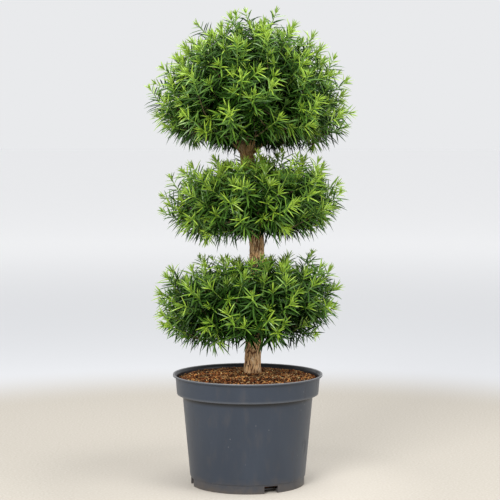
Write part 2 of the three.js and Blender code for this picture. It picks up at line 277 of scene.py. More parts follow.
def rounded(corners: list[Place], steps: int = 4, most: float = 0.45) -> Array:
    """Round the corners of a profile between its two ends.

    Args:
        corners: Radius, height and length of the rounding at each corner, in millimetres.
        steps: How many faces a rounding has.
        most: The share of an edge that a rounding may take up.

    Returns:
        Rows of radius and height.
    """
    places = [np.array(corner[:2]) for corner in corners]
    rows = [places[0]]
    for before, corner, after, (_, _, bend) in zip(places, places[1:], places[2:], corners[1:]):
        back, on = before - corner, after - corner
        cut = min(bend, most * np.linalg.norm(back), most * np.linalg.norm(on))
        first, last = corner + cut * unit(back), corner + cut * unit(on)
        rows.extend(bends(first[None], corner[None], last[None], steps + 1)[0])
    rows.append(places[-1])
    return np.array(rows)


def closed_faces(rings: int, sides: int) -> list[Array]:
    """Number the faces of a stack of rings that closes on two poles.

    Args:
        rings: How many rings there are. The first pole's corner follows them, then the last pole's.
        sides: How many corners a ring has.

    Returns:
        The faces between the rings, and those at each pole.
    """
    numbers = np.arange(rings * sides).reshape(rings, sides)
    after = np.roll(numbers, -1, axis=1)
    quads = np.stack([numbers[:-1], after[:-1], after[1:], numbers[1:]], axis=-1).reshape(-1, 4)
    first = np.stack([after[0], numbers[0], np.full(sides, numbers.size)], axis=1)
    last = np.stack([numbers[-1], after[-1], np.full(sides, numbers.size + 1)], axis=1)
    return [quads, first, last]


def lathe(profile: Array, sides: int) -> Surface:
    """Turn a profile round the upright axis.

    Args:
        profile: Rows of radius and height, outside on the right of its way, from axis to axis.
        sides: How many sides the turned form has.

    Returns:
        The closed surface.
    """
    rows = profile[1:-1]
    turned = around(ring_angles(sides)) * rows[:, None, :1] + UP * rows[:, None, 1:]
    poles = UP * profile[[0, -1], 1:]
    return Surface(np.concatenate([turned.reshape(-1, 3), poles]), closed_faces(len(rows), sides))


def tapered(radii: Range, lines: Array) -> Array:
    """Give the radius at each station of lines that all taper alike."""
    return np.linspace(*radii, lines.shape[1])[None].repeat(len(lines), 0)


def tubes(lines: Array, radii: Array, sides: int) -> Surface:
    """Make closed tapering tubes along many lines at once.

    Args:
        lines: Points of each line, as lines by stations by three.
        radii: The radius at each station of each line.
        sides: How many sides a tube has.

    Returns:
        One surface with all the tubes.
    """
    side, across = cross_axes(unit(np.gradient(lines, axis=1)))
    round_them = spokes(side[:, :, None], across[:, :, None], ring_angles(sides))
    points = lines[:, :, None] + round_them * radii[:, :, None, None]
    numbers = np.arange(points.size // 3).reshape(points.shape[:3])
    after = np.roll(numbers, -1, axis=2)
    quads = np.stack([numbers[:, :-1], after[:, :-1], after[:, 1:], numbers[:, 1:]], axis=-1)
    fan = [(0, k, k + 1) for k in range(1, sides - 1)]
    ends = [numbers[:, -1][:, corners] for corners in fan]
    ends += [numbers[:, 0][:, corners[::-1]] for corners in fan]
    return Surface(points.reshape(-1, 3), [quads.reshape(-1, 4), np.concatenate(ends)])


class Route:
    """The middle line of a limb, read by share of its length or by height."""

    def __init__(self, points: Array) -> None:
        """Keep a dense row of points and their shares of the length.

        Args:
            points: The row of points.
        """
        steps = np.linalg.norm(np.diff(points, axis=0), axis=1)
        far = np.concatenate([[0.0], np.cumsum(steps)])
        self.points = points
        self.length = float(far[-1])
        self.shares = far / far[-1]

    @classmethod
    def through(cls, stops: Array, steps: int = 24) -> "Route":
        """Draw a smooth route through a few stops.

        Args:
            stops: The points that it passes.
            steps: How many points lie between two stops.

        Returns:
            The route, as a centripetal Catmull-Rom curve.
        """
        padded = np.concatenate([[2 * stops[0] - stops[1]], stops, [2 * stops[-1] - stops[-2]]])
        t = np.linspace(0.0, 1.0, steps, endpoint=False)[:, None]
        rows = []
        for p0, p1, p2, p3 in zip(padded, padded[1:], padded[2:], padded[3:]):
            d0, d1, d2 = (math.sqrt(np.linalg.norm(b - a)) for a, b in ((p0, p1), (p1, p2), (p2, p3)))
            leave = ((p1 - p0) / d0 - (p2 - p0) / (d0 + d1) + (p2 - p1) / d1) * d1
            arrive = ((p2 - p1) / d1 - (p3 - p1) / (d1 + d2) + (p3 - p2) / d2) * d1
            square = -3 * p1 + 3 * p2 - 2 * leave - arrive
            cube = 2 * p1 - 2 * p2 + leave + arrive
            rows.append(p1 + leave * t + square * t**2 + cube * t**3)
        return cls(np.concatenate([*rows, stops[-1:]]))

    def read(self, wanted: Array, scale: Array) -> Array:
        """Give the points at wanted places on a scale along the route."""
        return np.stack([np.interp(wanted, scale, column) for column in self.points.T], axis=-1)

    def at(self, shares: Array) -> Array:
        """Give the points at shares of the length."""
        return self.read(shares, self.shares)

    def at_height(self, heights: Array) -> Array:
        """Give the points of a rising route at heights."""
        return self.read(heights, self.points[:, 2])


class Graph:
    """Adds nodes to a shader tree and joins their sockets."""

    def __init__(self, tree: bpy.types.NodeTree) -> None:
        """Keep the tree."""
        self.tree = tree

    def node(self, kind: str, inputs: dict | None = None, **settings: object) -> bpy.types.Node:
        """Add a node.

        Args:
            kind: Blender's name of the node, without its ShaderNode.
            inputs: Values, or sockets to join, by the name or number of the input.
            settings: Properties of the node.

        Returns:
            The new node.
        """
        made = self.tree.nodes.new("ShaderNode" + kind)
        for name, value in settings.items():
            setattr(made, name, value)
        for name, value in (inputs or {}).items():
            self.feed(value, made.inputs[name])
        return made

    def feed(self, value: object, target: Socket) -> None:
        """Join a socket to a target, or set the target.

        Args:
            value: The socket, or a plain value.
            target: The input that takes it.
        """
        if isinstance(value, Socket):
            self.tree.links.new(value, target)
        else:
            target.default_value = value

    def place(self) -> Socket:
        """Give object coordinates, in metres."""
        return self.node("TexCoord").outputs["Object"]

    def height(self) -> Socket:
        """Give the height over the floor, in metres."""
        return self.node("SeparateXYZ", {"Vector": self.place()}).outputs["Z"]

    def figure(self, operation: str, *values: object) -> Socket:
        """Work out a figure from values or sockets."""
        return self.node("Math", dict(enumerate(values)), operation=operation).outputs[0]

    def spread(self, value: Socket, start: tuple[object, object], end: Range = (0.0, 1.0)) -> Socket:
        """Map a value smoothly from one range to another.

        Args:
            value: The socket of the value.
            start: The range that it is read in, as values or sockets.
            end: The range that comes out.

        Returns:
            The socket of the new value.
        """
        names = ("Value", "From Min", "From Max", "To Min", "To Max")
        limits = dict(zip(names, (value, *start, *end)))
        return self.node("MapRange", limits, interpolation_type="SMOOTHSTEP").outputs["Result"]

    def fade(self, start: float, end: float) -> Socket:
        """Give a mask that goes from 0 at one height to 1 at another, in millimetres."""
        return self.spread(self.height(), (start * MM, end * MM))

    def blend(self, share: Socket, low: object, high: object) -> Socket:
        """Blend from one colour to another by a share."""
        return self.node("Mix", {0: share, 6: low, 7: high}, data_type="RGBA").outputs[2]

    def layered(self, base: object, *coats: tuple[Socket, float, Colour]) -> Socket:
        """Lay coats of colour over a base.

        Args:
            base: The colour at the bottom, or its socket.
            coats: The mask, the strength and the colour of each coat, from the bottom up.

        Returns:
            The socket of the colour on top.
        """
        for mask, strength, colour in coats:
            share = mask if strength == 1.0 else self.figure("MULTIPLY", mask, strength)
            base = self.blend(share, base, colour)
        return base

    def effect(self, tree: bpy.types.NodeTree, **inputs: float) -> Socket:
        """Place a shared effect with its own values, and give its one output."""
        return self.node("Group", inputs, node_tree=tree).outputs[0]

    def bump(self, height: Socket, strength: float, depth: float) -> Socket:
        """Turn a height, whose full range is a depth in millimetres, into a normal."""
        inputs = {"Height": height, "Strength": strength, "Distance": depth * MM}
        return self.node("Bump", inputs).outputs["Normal"]


class Effects:
    """Shader node groups that more than one finish uses, each built once."""

    def __init__(self) -> None:
        """Build the groups."""
        self.mottle = self._mottle()
        self.grain = self._grain()
        self.splash = self._splash()

    @staticmethod
    def _group(name: str, output: str, **inputs: float) -> tuple[Graph, dict[str, Socket], Socket]:
        """Start a group.

        Args:
            name: Its name.
            output: The name of its one output.
            inputs: The default of each input, by name.

        Returns:
            The group's graph, its inputs by name inside it, and the socket that its result goes to.
        """
        tree = bpy.data.node_groups.new(name, "ShaderNodeTree")
        for word, value in inputs.items():
            socket = tree.interface.new_socket(word, in_out="INPUT", socket_type="NodeSocketFloat")
            socket.default_value = value
        tree.interface.new_socket(output, in_out="OUTPUT", socket_type="NodeSocketFloat")
        entry = tree.nodes.new("NodeGroupInput")
        leave = tree.nodes.new("NodeGroupOutput")
        return Graph(tree), {word: entry.outputs[word] for word in inputs}, leave.inputs[output]

    @staticmethod
    def _stretched(graph: Graph, stretch: Socket) -> Socket:
        """Give object coordinates whose height is divided by a stretch.

        Args:
            graph: The group's graph.
            stretch: The socket of the stretch.

        Returns:
            The socket of the coordinates.
        """
        parts = graph.node("SeparateXYZ", {"Vector": graph.place()}).outputs
        height = graph.figure("DIVIDE", parts["Z"], stretch)
        joined = {"X": parts["X"], "Y": parts["Y"], "Z": height}
        return graph.node("CombineXYZ", joined).outputs["Vector"]

    def _mottle(self) -> bpy.types.NodeTree:
        """Build cloudy patches, as a mask.

        Returns:
            The group.
        """
        graph, given, result = self._group("mottle", "Mask", Scale=50.0, Stretch=1.0, Low=0.35, High=0.65)
        place = self._stretched(graph, given["Stretch"])
        cloud = graph.node("TexNoise", {"Vector": place, "Scale": given["Scale"], "Detail": 5.0})
        graph.feed(graph.spread(cloud.outputs["Fac"], (given["Low"], given["High"])), result)
        return graph.tree

    def _grain(self) -> bpy.types.NodeTree:
        """Build a fine grain, as a height.

        Returns:
            The group.
        """
        graph, given, result = self._group("grain", "Height", Scale=900.0, Stretch=1.0, Roughness=0.6)
        place = self._stretched(graph, given["Stretch"])
        grain = {"Vector": place, "Scale": given["Scale"], "Detail": 4.0, "Roughness": given["Roughness"]}
        graph.feed(graph.node("TexNoise", grain).outputs["Fac"], result)
        return graph.tree

    def _splash(self) -> bpy.types.NodeTree:
        """Build soil splashed up from a level, as a mask.

        Returns:
            The group.
        """
        graph, given, result = self._group("splash", "Mask", Level=0.0, Reach=0.03, Raggedness=0.03)
        ragged = graph.node("TexNoise", {"Vector": graph.place(), "Scale": 70.0, "Detail": 6.0})
        above = graph.figure("SUBTRACT", graph.height(), given["Level"])
        uneven = graph.figure("MULTIPLY_ADD", ragged.outputs["Fac"], given["Raggedness"], above)
        graph.feed(graph.spread(uneven, (given["Reach"], 0.0)), result)
        return graph.tree


@dataclass(frozen=True)
class Finish:
    """A finish that becomes one material."""

    name: str

    def sockets(self, graph: Graph, effects: Effects) -> dict[str, object]:
        """Lay out the finish.

        Args:
            graph: Where its nodes go.
            effects: The shared effects.

        Returns:
            What feeds the shader, by socket.
        """
        raise NotImplementedError

    def material(self, effects: Effects) -> Material:
        """Make the material.

        Args:
            effects: The shared effects.

        Returns:
            The material, with one Principled shader.
        """
        made = bpy.data.materials.new(self.name)
        made.use_nodes = True
        graph = Graph(made.node_tree)
        shader = next(node for node in graph.tree.nodes if node.type == "BSDF_PRINCIPLED")
        for name, value in self.sockets(graph, effects).items():
            graph.feed(value, shader.inputs[name])
        return made


@dataclass(frozen=True)
class NeedleSkin(Finish):
    """The waxy skin of needles of one age: plain in colour, with a gloss that changes over it."""

    colour: Colour
    sheen: float
    gloss: Range = (0.3, 0.45)

    def sockets(self, graph: Graph, effects: Effects) -> dict[str, object]:
        """Lay out the finish.

        Args:
            graph: Where its nodes go.
            effects: The shared effects.

        Returns:
            What feeds the shader, by socket.
        """
        patches = graph.effect(effects.mottle, Scale=260.0)
        ribs = graph.effect(effects.grain, Scale=1400.0, Stretch=3.0)
        return {
            "Base Color": self.colour,
            "Roughness": graph.spread(patches, (0.0, 1.0), self.gloss),
            "Normal": graph.bump(ribs, 0.25, 0.15),
            "Specular IOR Level": self.sheen,
        }


@dataclass(frozen=True)
class TwigSkin(Finish):
    """The skin of a twig, with paler breathing pores."""

    colour: Colour
    pores: Colour

    def sockets(self, graph: Graph, effects: Effects) -> dict[str, object]:
        """Lay out the finish.

        Args:
            graph: Where its nodes go.
            effects: The shared effects.

        Returns:
            What feeds the shader, by socket.
        """
        dots = graph.effect(effects.mottle, Scale=620.0, Low=0.56, High=0.68)
        rough = graph.effect(effects.grain, Scale=900.0, Stretch=2.0)
        return {
            "Base Color": graph.blend(dots, self.colour, self.pores),
            "Roughness": graph.spread(rough, (0.3, 0.7), (0.6, 0.85)),
            "Normal": graph.bump(rough, 0.5, 0.3),
        }


@dataclass(frozen=True)
class Bark(Finish):
    """Flaky bark: dark fissures, tan plates with pale scales, soil at its foot and painted shade darkening
    its upper part, in mm.
    """

    name: str = "bark"
    fissure: Colour = paint(98, 64, 37)
    plate: Colour = paint(208, 160, 109)
    ridge: Colour = paint(224, 186, 138)
    scale: Colour = paint(236, 211, 172)
    soil: Colour = paint(74, 50, 33)
    painted_crown_shade: Colour = paint(96, 74, 22)
    ground: float = POT_HEIGHT
    painted_crown_shade_heights: Range = (330.0, 560.0)

    def sockets(self, graph: Graph, effects: Effects) -> dict[str, object]:
        """Lay out the finish.

        Args:
            graph: Where its nodes go.
            effects: The shared effects.

        Returns:
            What feeds the shader, by socket.
        """
        relief = graph.node("Attribute", attribute_name=RELIEF).outputs["Fac"]
        streaks = graph.effect(effects.mottle, Scale=330.0, Stretch=5.0, Low=0.38, High=0.66)
        scales = graph.effect(effects.mottle, Scale=150.0, Stretch=2.6, Low=0.56, High=0.66)
        fibres = graph.effect(effects.grain, Scale=1500.0, Stretch=8.0, Roughness=0.7)
        splashed = graph.effect(effects.splash, Level=self.ground * MM, Reach=0.022, Raggedness=0.02)
        # Painted shade: the bark darkens with height towards and into the pompons.
        shaded = graph.fade(*self.painted_crown_shade_heights)
        scaly = graph.layered(self.plate, (streaks, 1.0, self.ridge), (scales, 0.7, self.scale))
        cracked = graph.blend(graph.spread(relief, (0.05, 0.6)), self.fissure, scaly)
        return {
            "Base Color": graph.layered(cracked, (splashed, 0.75, self.soil), (shaded, 0.75, self.painted_crown_shade)),
            "Roughness": graph.spread(fibres, (0.3, 0.7), (0.72, 0.95)),
            "Normal": graph.bump(fibres, 0.6, 0.5),
        }


@dataclass(frozen=True)
class Soil(Finish):
    """One of the colours in the compost, mottled and rough, with damp patches."""

    colour: Colour
    other: Colour
    patch: float = 120.0
    damp: Colour = paint(30, 17, 10)
    sheen: float = 0.12

    def sockets(self, graph: Graph, effects: Effects) -> dict[str, object]:
        """Lay out the finish.

        Args:
            graph: Where its nodes go.
            effects: The shared effects.

        Returns:
            What feeds the shader, by socket.
        """
        patches = graph.effect(effects.mottle, Scale=self.patch)
        crumb = graph.effect(effects.grain, Scale=1100.0, Roughness=0.75)
        wet = graph.effect(effects.mottle, Scale=26.0, Low=0.47, High=0.62)
        return {
            "Base Color": graph.layered(self.colour, (patches, 1.0, self.other), (wet, 0.72, self.damp)),
            "Roughness": graph.spread(crumb, (0.3, 0.7), (0.8, 1.0)),
            "Normal": graph.bump(crumb, 0.8, 0.8),
            "Specular IOR Level": self.sheen,
        }


@dataclass(frozen=True)
class PotPlastic(Finish):
    """Moulded blue-grey plastic with dust, specks and soil at its foot, painted highlights (partly wear) on
    the lip and band edge and painted shadow under the band, in mm.
    """

    name: str = "pot_plastic"
    body: Colour = paint(39, 48, 61)
    bloom: Colour = paint(45, 54, 67)
    dust: Colour = paint(92, 81, 68)
    speck_and_highlight: Colour = paint(150, 148, 146)
    painted_shadow: Colour = paint(10, 11, 13)
    rim: Range = (189.2, 192.2)
    band: float = BAND_BOTTOM

    def sockets(self, graph: Graph, effects: Effects) -> dict[str, object]:
        """Lay out the finish.

        Args:
            graph: Where its nodes go.
            effects: The shared effects.

        Returns:
            What feeds the shader, by socket.
        """
        clouds = graph.effect(effects.mottle, Scale=16.0, Stretch=2.5, Low=0.3, High=0.7)
        handled = graph.effect(effects.mottle, Scale=70.0, Stretch=3.0, Low=0.5, High=0.75)
        splashed = graph.effect(effects.splash, Level=0.0, Reach=0.042, Raggedness=0.03)
        pores = graph.effect(effects.grain, Scale=1800.0)
        cells = graph.node("TexVoronoi", {"Vector": graph.place(), "Scale": 95.0, "Randomness": 1.0})
        dots = graph.spread(cells.outputs["Distance"], (0.12, 0.07))
        sparse = graph.effect(effects.mottle, Scale=40.0, Low=0.55, High=0.62)
        over_band = graph.fade(self.band - 0.4, self.band)
        under_band = graph.fade(self.band, self.band - 0.4)
        # Painted highlight, partly wear, along the band's lower edge.
        edge = graph.figure("MULTIPLY", graph.fade(self.band + 5.0, self.band + 1.0), over_band)
        # Painted shadow on the wall just under the band.
        corner = graph.figure("MULTIPLY", graph.fade(self.band - 10.0, self.band - 1.5), under_band)
        colour = graph.layered(
            self.body,
            (clouds, 1.0, self.bloom),
            (handled, 0.14, self.dust),
            # The lip's top is lighter: painted highlight, partly wear.
            (graph.fade(*self.rim), 0.62, self.speck_and_highlight),
            (edge, 0.14, self.speck_and_highlight),
            (corner, 0.95, self.painted_shadow),
            (splashed, 0.8, self.dust),
            (graph.figure("MULTIPLY", dots, sparse), 0.3, self.speck_and_highlight),
        )
        return {
            "Base Color": colour,
            "Roughness": graph.spread(handled, (0.0, 1.0), (0.4, 0.58)),
            "Normal": graph.bump(pores, 0.12, 0.2),
        }


@dataclass(frozen=True)
class FloorPaint(Finish):
    """Pale floor: painted light round the pot against its contact shadow, warm near it and white further out,
    in metres.
    """

    name: str = "floor"
    painted_light_round_pot: Colour = paint(197, 189, 176)
    near: Colour = paint(171, 164, 152)
    middle: Colour = paint(201, 202, 204)
    far: Colour = paint(254, 254, 254)
    radii: tuple[float, ...] = (0.1, 0.36, 0.95, 1.45, 6.4)

    def sockets(self, graph: Graph, effects: Effects) -> dict[str, object]:
        """Lay out the finish.

        Args:
            graph: Where its nodes go.
            effects: The shared effects.

        Returns:
            What feeds the shader, by socket.
        """
        away = graph.node("VectorMath", {"Vector": graph.place()}, operation="LENGTH").outputs["Value"]
        grit = graph.effect(effects.mottle, Scale=240.0, Low=0.3, High=0.75)
        # Painted light: the floor is lighter right round the pot, where its contact shadow falls.
        colour = graph.layered(
            self.painted_light_round_pot,
            (graph.spread(away, self.radii[0:2]), 1.0, self.near),
            (grit, 0.12, self.far),
            (graph.spread(away, self.radii[2:4]), 1.0, self.middle),
            (graph.spread(away, self.radii[3:5]), 1.0, self.far),
        )
        return {"Base Color": colour, "Roughness": 0.9}


@dataclass
class Studio:
    """Camera, soft lights, pale world and floor. Lengths in metres."""

    camera_place: Place = (0.004, -2.95, 0.622)
    camera_pitch: float = 4.19
    focal_pixels: float = 1716.0
    frame_pixels: float = 500.0
    sensor: float = 36.0
    far_clip: float = 100.0
    floor_radius: float = 40.0
    floor_sides: int = 96
    sky: Colour = paint(233, 234, 236)
    sky_strength: float = 1.0
    lit_place: Place = (0.0, 0.0, 0.45)
    lights: tuple[tuple[str, Place, float, float], ...] = (
        ("front", (-1.2, -2.9, 1.9), 1.3, 100.0),
        ("overhead", (0.3, -0.2, 3.2), 1.4, 65.0),
        ("fill", (2.4, -1.5, 1.4), 1.6, 24.0),
    )

    def build(self, effects: Effects) -> None:
        """Set up everything round the plant.

        Args:
            effects: The shared effects.
        """
        self.place_camera()
        self.lay_floor(effects)
        self.light_world()
        for name, place, size, power in self.lights:
            self.hang_light(name, place, size, power)

    def place_camera(self) -> None:
        """Put the camera at the height, distance and pitch that the picture was taken with."""
        data = bpy.data.cameras.new("camera")
        data.sensor_width = self.sensor
        data.lens = self.focal_pixels * self.sensor / self.frame_pixels
        data.clip_end = self.far_clip
        camera = linked("camera", data)
        camera.location = self.camera_place
        camera.rotation_euler = (math.radians(90.0 - self.camera_pitch), 0.0, 0.0)
        bpy.context.scene.camera = camera

    def lay_floor(self, effects: Effects) -> None:
        """Lay a round floor at the pot's foot.

        Args:
            effects: The shared effects.
        """
        corners = around(ring_angles(self.floor_sides)) * self.floor_radius
        mesh = bpy.data.meshes.new("floor")
        mesh.from_pydata(corners.tolist(), [], [range(self.floor_sides)])
        mesh.materials.append(FloorPaint().material(effects))
        linked("floor", mesh)

    def light_world(self) -> None:
        """Light the scene evenly from a pale world, in plain colours."""
        world = bpy.data.worlds.new("pale_world")
        world.use_nodes = True
        background = next(node for node in world.node_tree.nodes if node.type == "BACKGROUND")
        background.inputs["Color"].default_value = self.sky
        background.inputs["Strength"].default_value = self.sky_strength
        bpy.context.scene.world = world
        bpy.context.scene.view_settings.view_transform = "Standard"

    def hang_light(self, name: str, place: Place, size: float, power: float) -> None:
        """Hang a square soft light that looks at the plant.

        Args:
            name: Its name.
            place: Where it hangs.
            size: The length of its side.
            power: Its power in watts.
        """
        data = bpy.data.lights.new(name, "AREA")
        data.size = size
        data.energy = power
        light = linked(name, data)
        light.location = place
        light.rotation_euler = (Vector(self.lit_place) - light.location).to_track_quat("-Z", "Y").to_euler()


@dataclass
class Pot:
    """A moulded nursery pot with a lip, a band, a straight wall and a foot with drain notches, in mm."""

    height: float = POT_HEIGHT
    sides: int = 180
    wall: float = 2.0
    lip_radius: float = 129.6
    lip_height: float = 4.2
    lip_inner: float = 126.8
    lip_fall: float = 0.6
    band_bottom: float = BAND_BOTTOM
    band_radius_top: float = 125.0
    band_radius_bottom: float = 122.5
    wall_radius_top: float = 113.0
    wall_radius_bottom: float = 100.0
    foot_radius: float = 98.4
    foot_height: float = 15.0
    pad_radius: float = 78.0
    channel_height: float = 4.0
    channel_inner: float = 82.0
    channel_outer: float = 90.0
    ring_inner: float = 94.0
    notch_width: float = 25.0
    notch_height: float = 12.5
    notch_angles: tuple[float, ...] = (-66.0, 60.0, -168.0)
    inside_depth: float = 1.0
    inside_lean: float = 0.3
    smooth: float = 32.0
    outside: PotPlastic = PotPlastic()
    # The inside finish is a darker copy of the plastic: painted shade inside the pot.
    inside: PotPlastic = PotPlastic(
        "pot_inside_shaded", paint(21, 24, 29), paint(27, 30, 36), paint(48, 38, 31), paint(36, 38, 42))

    def profile(self) -> Array:
        """Draw the rounded half section, from the axis underneath to the axis inside.

        Returns:
            Rows of radius and height.
        """
        lip_bottom = self.height - self.lip_height
        floor = self.wall + self.channel_height
        ledge = self.band_bottom + self.wall
        foot_inner = self.foot_radius - self.wall
        return rounded([
            (0.0, 0.0, 0.0),
            (self.pad_radius, 0.0, 1.0),
            (self.channel_inner, self.channel_height, 1.0),
            (self.channel_outer, self.channel_height, 1.0),
            (self.ring_inner, 0.0, 0.6),
            (self.foot_radius, 0.0, 0.8),
            (self.foot_radius, self.foot_height, 0.6),
            (self.wall_radius_bottom, self.foot_height, 0.9),
            (self.wall_radius_top, self.band_bottom, 1.4),
            (self.band_radius_bottom, self.band_bottom, 1.3),
            (self.band_radius_top, lip_bottom, 1.0),
            (self.lip_radius, lip_bottom, 1.8),
            (self.lip_radius, self.height, 2.6),
            (self.lip_inner, self.height - self.lip_fall, 1.4),
            (self.band_radius_top - self.wall, lip_bottom, 1.0),
            (self.band_radius_bottom - self.wall, ledge, 1.0),
            (self.wall_radius_top - self.wall, ledge, 1.0),
            (self.wall_radius_bottom - self.wall, self.foot_height + self.wall, 0.6),
            (foot_inner, self.foot_height, 0.6),
            (foot_inner, floor + self.wall, 0.6),
            (self.channel_outer, floor, 0.6),
            (self.channel_inner, floor, 0.6),
            (self.pad_radius, self.wall, 0.6),
            (0.0, self.wall, 0.0),
        ])

    def build(self, effects: Effects) -> None:
        """Turn the pot, cut its drain notches and put it in place of its solid.

        Args:
            effects: The shared effects.
        """
        skins = [self.outside.material(effects), self.inside.material(effects)]
        pot = lathe(self.profile(), self.sides).piece("pot_shell", Slot.POT, skins)
        self.cut_notches(pot)
        # Faces that look inwards take the darker finish, painted shade.
        for face in pot.data.polygons:
            out = face.center.xy
            faces_in = face.normal.xy.dot(out) < -self.inside_lean * out.length
            face.material_index = int(faces_in and face.center.z < (self.height - self.inside_depth) * MM)
        shade(pot.data, self.smooth)
        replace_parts(pot, "pot")

    def notch_boxes(self) -> bpy.types.Object:
        """Make the boxes that are cut out at the drain notches.

        Returns:
            One object with all of them.
        """
        depth = self.wall_radius_bottom - self.channel_inner
        middle = self.wall_radius_bottom + self.wall - depth / 2.0
        half = np.array((depth / 2.0, self.notch_width / 2.0, self.notch_height))
        signs = np.array(list(product((-1, 1), repeat=3)))
        faces = np.array([(0, 1, 3, 2), (4, 6, 7, 5), (0, 4, 5, 1), (2, 3, 7, 6), (0, 2, 6, 4), (1, 5, 7, 3)])
        box = (signs * half + np.array((middle, 0.0, 0.0))) * MM
        turns = np.radians(self.notch_angles)
        upright = np.tile(UP, (len(turns), 1))
        axes = np.stack([around(turns), around(turns + FULL_TURN / 4.0), upright], axis=1)
        numbers = np.concatenate([faces + len(box) * k for k in range(len(turns))])
        mesh = bpy.data.meshes.new("notches")
        mesh.from_pydata((box @ axes).reshape(-1, 3).tolist(), [], numbers.tolist())
        return linked("notches", mesh)

    def cut_notches(self, pot: bpy.types.Object) -> None:
        """Cut the notches out of the foot ring, open at the ground.

        Args:
            pot: The turned pot.
        """
        cutter = self.notch_boxes()
        cut = pot.modifiers.new("notches", "BOOLEAN")
        cut.operation = "DIFFERENCE"
        cut.object = cutter
        whole = pot.evaluated_get(bpy.context.evaluated_depsgraph_get())
        drained = bpy.data.meshes.new_from_object(whole)
        pot.modifiers.clear()
        pot.data = drained
        bpy.data.objects.remove(cutter)


@dataclass(frozen=True)
class CrumbKind:
    """Crumbs of one kind: their name, two colours, number, range of lengths in mm and flatness."""

    name: str
    colour: Colour
    other: Colour
    count: int
    lengths: Range
    flatness: float
    patch: float = 260.0

    def finish(self) -> Soil:
        """Give the crumbs' finish."""
        return Soil(self.name, self.colour, self.other, self.patch)


class Crumb(Enum):
    """What lies loose on the compost."""

    PEAT = CrumbKind("crumbs_peat", paint(72, 38, 19), paint(150, 88, 49), 3000, (1.5, 4.3), 0.7)
    CHIP = CrumbKind("crumbs_chip", paint(172, 108, 58), paint(212, 154, 88), 1300, (1.9, 5.2), 0.4)
    PALE = CrumbKind("crumbs_pale", paint(222, 190, 120), paint(240, 220, 168), 400, (1.5, 3.6), 0.65)


def lump_ball(longest_edge: float = 1.2) -> tuple[Array, Array]:
    """Make a ball of twenty faces.

    Args:
        longest_edge: Corners that are no further apart share a face.

    Returns:
        Its corners and its faces.
    """
    pairs = [(a, b * GOLDEN_RATIO) for a in (-1, 1) for b in (-1, 1)]
    corners = [(0, a, b) for a, b in pairs] + [(a, b, 0) for a, b in pairs] + [(b, 0, a) for a, b in pairs]
    ball = unit(np.array(corners, dtype=float))
    faces = []
    for trio in combinations(range(len(ball)), 3):
        first, second, third = ball[list(trio)]
        edges = np.linalg.norm([first - second, second - third, third - first], axis=1)
        if edges.max() < longest_edge:
            outward = np.cross(second - first, third - first) @ first > 0
            faces.append(trio if outward else trio[::-1])
    return ball, np.array(faces)


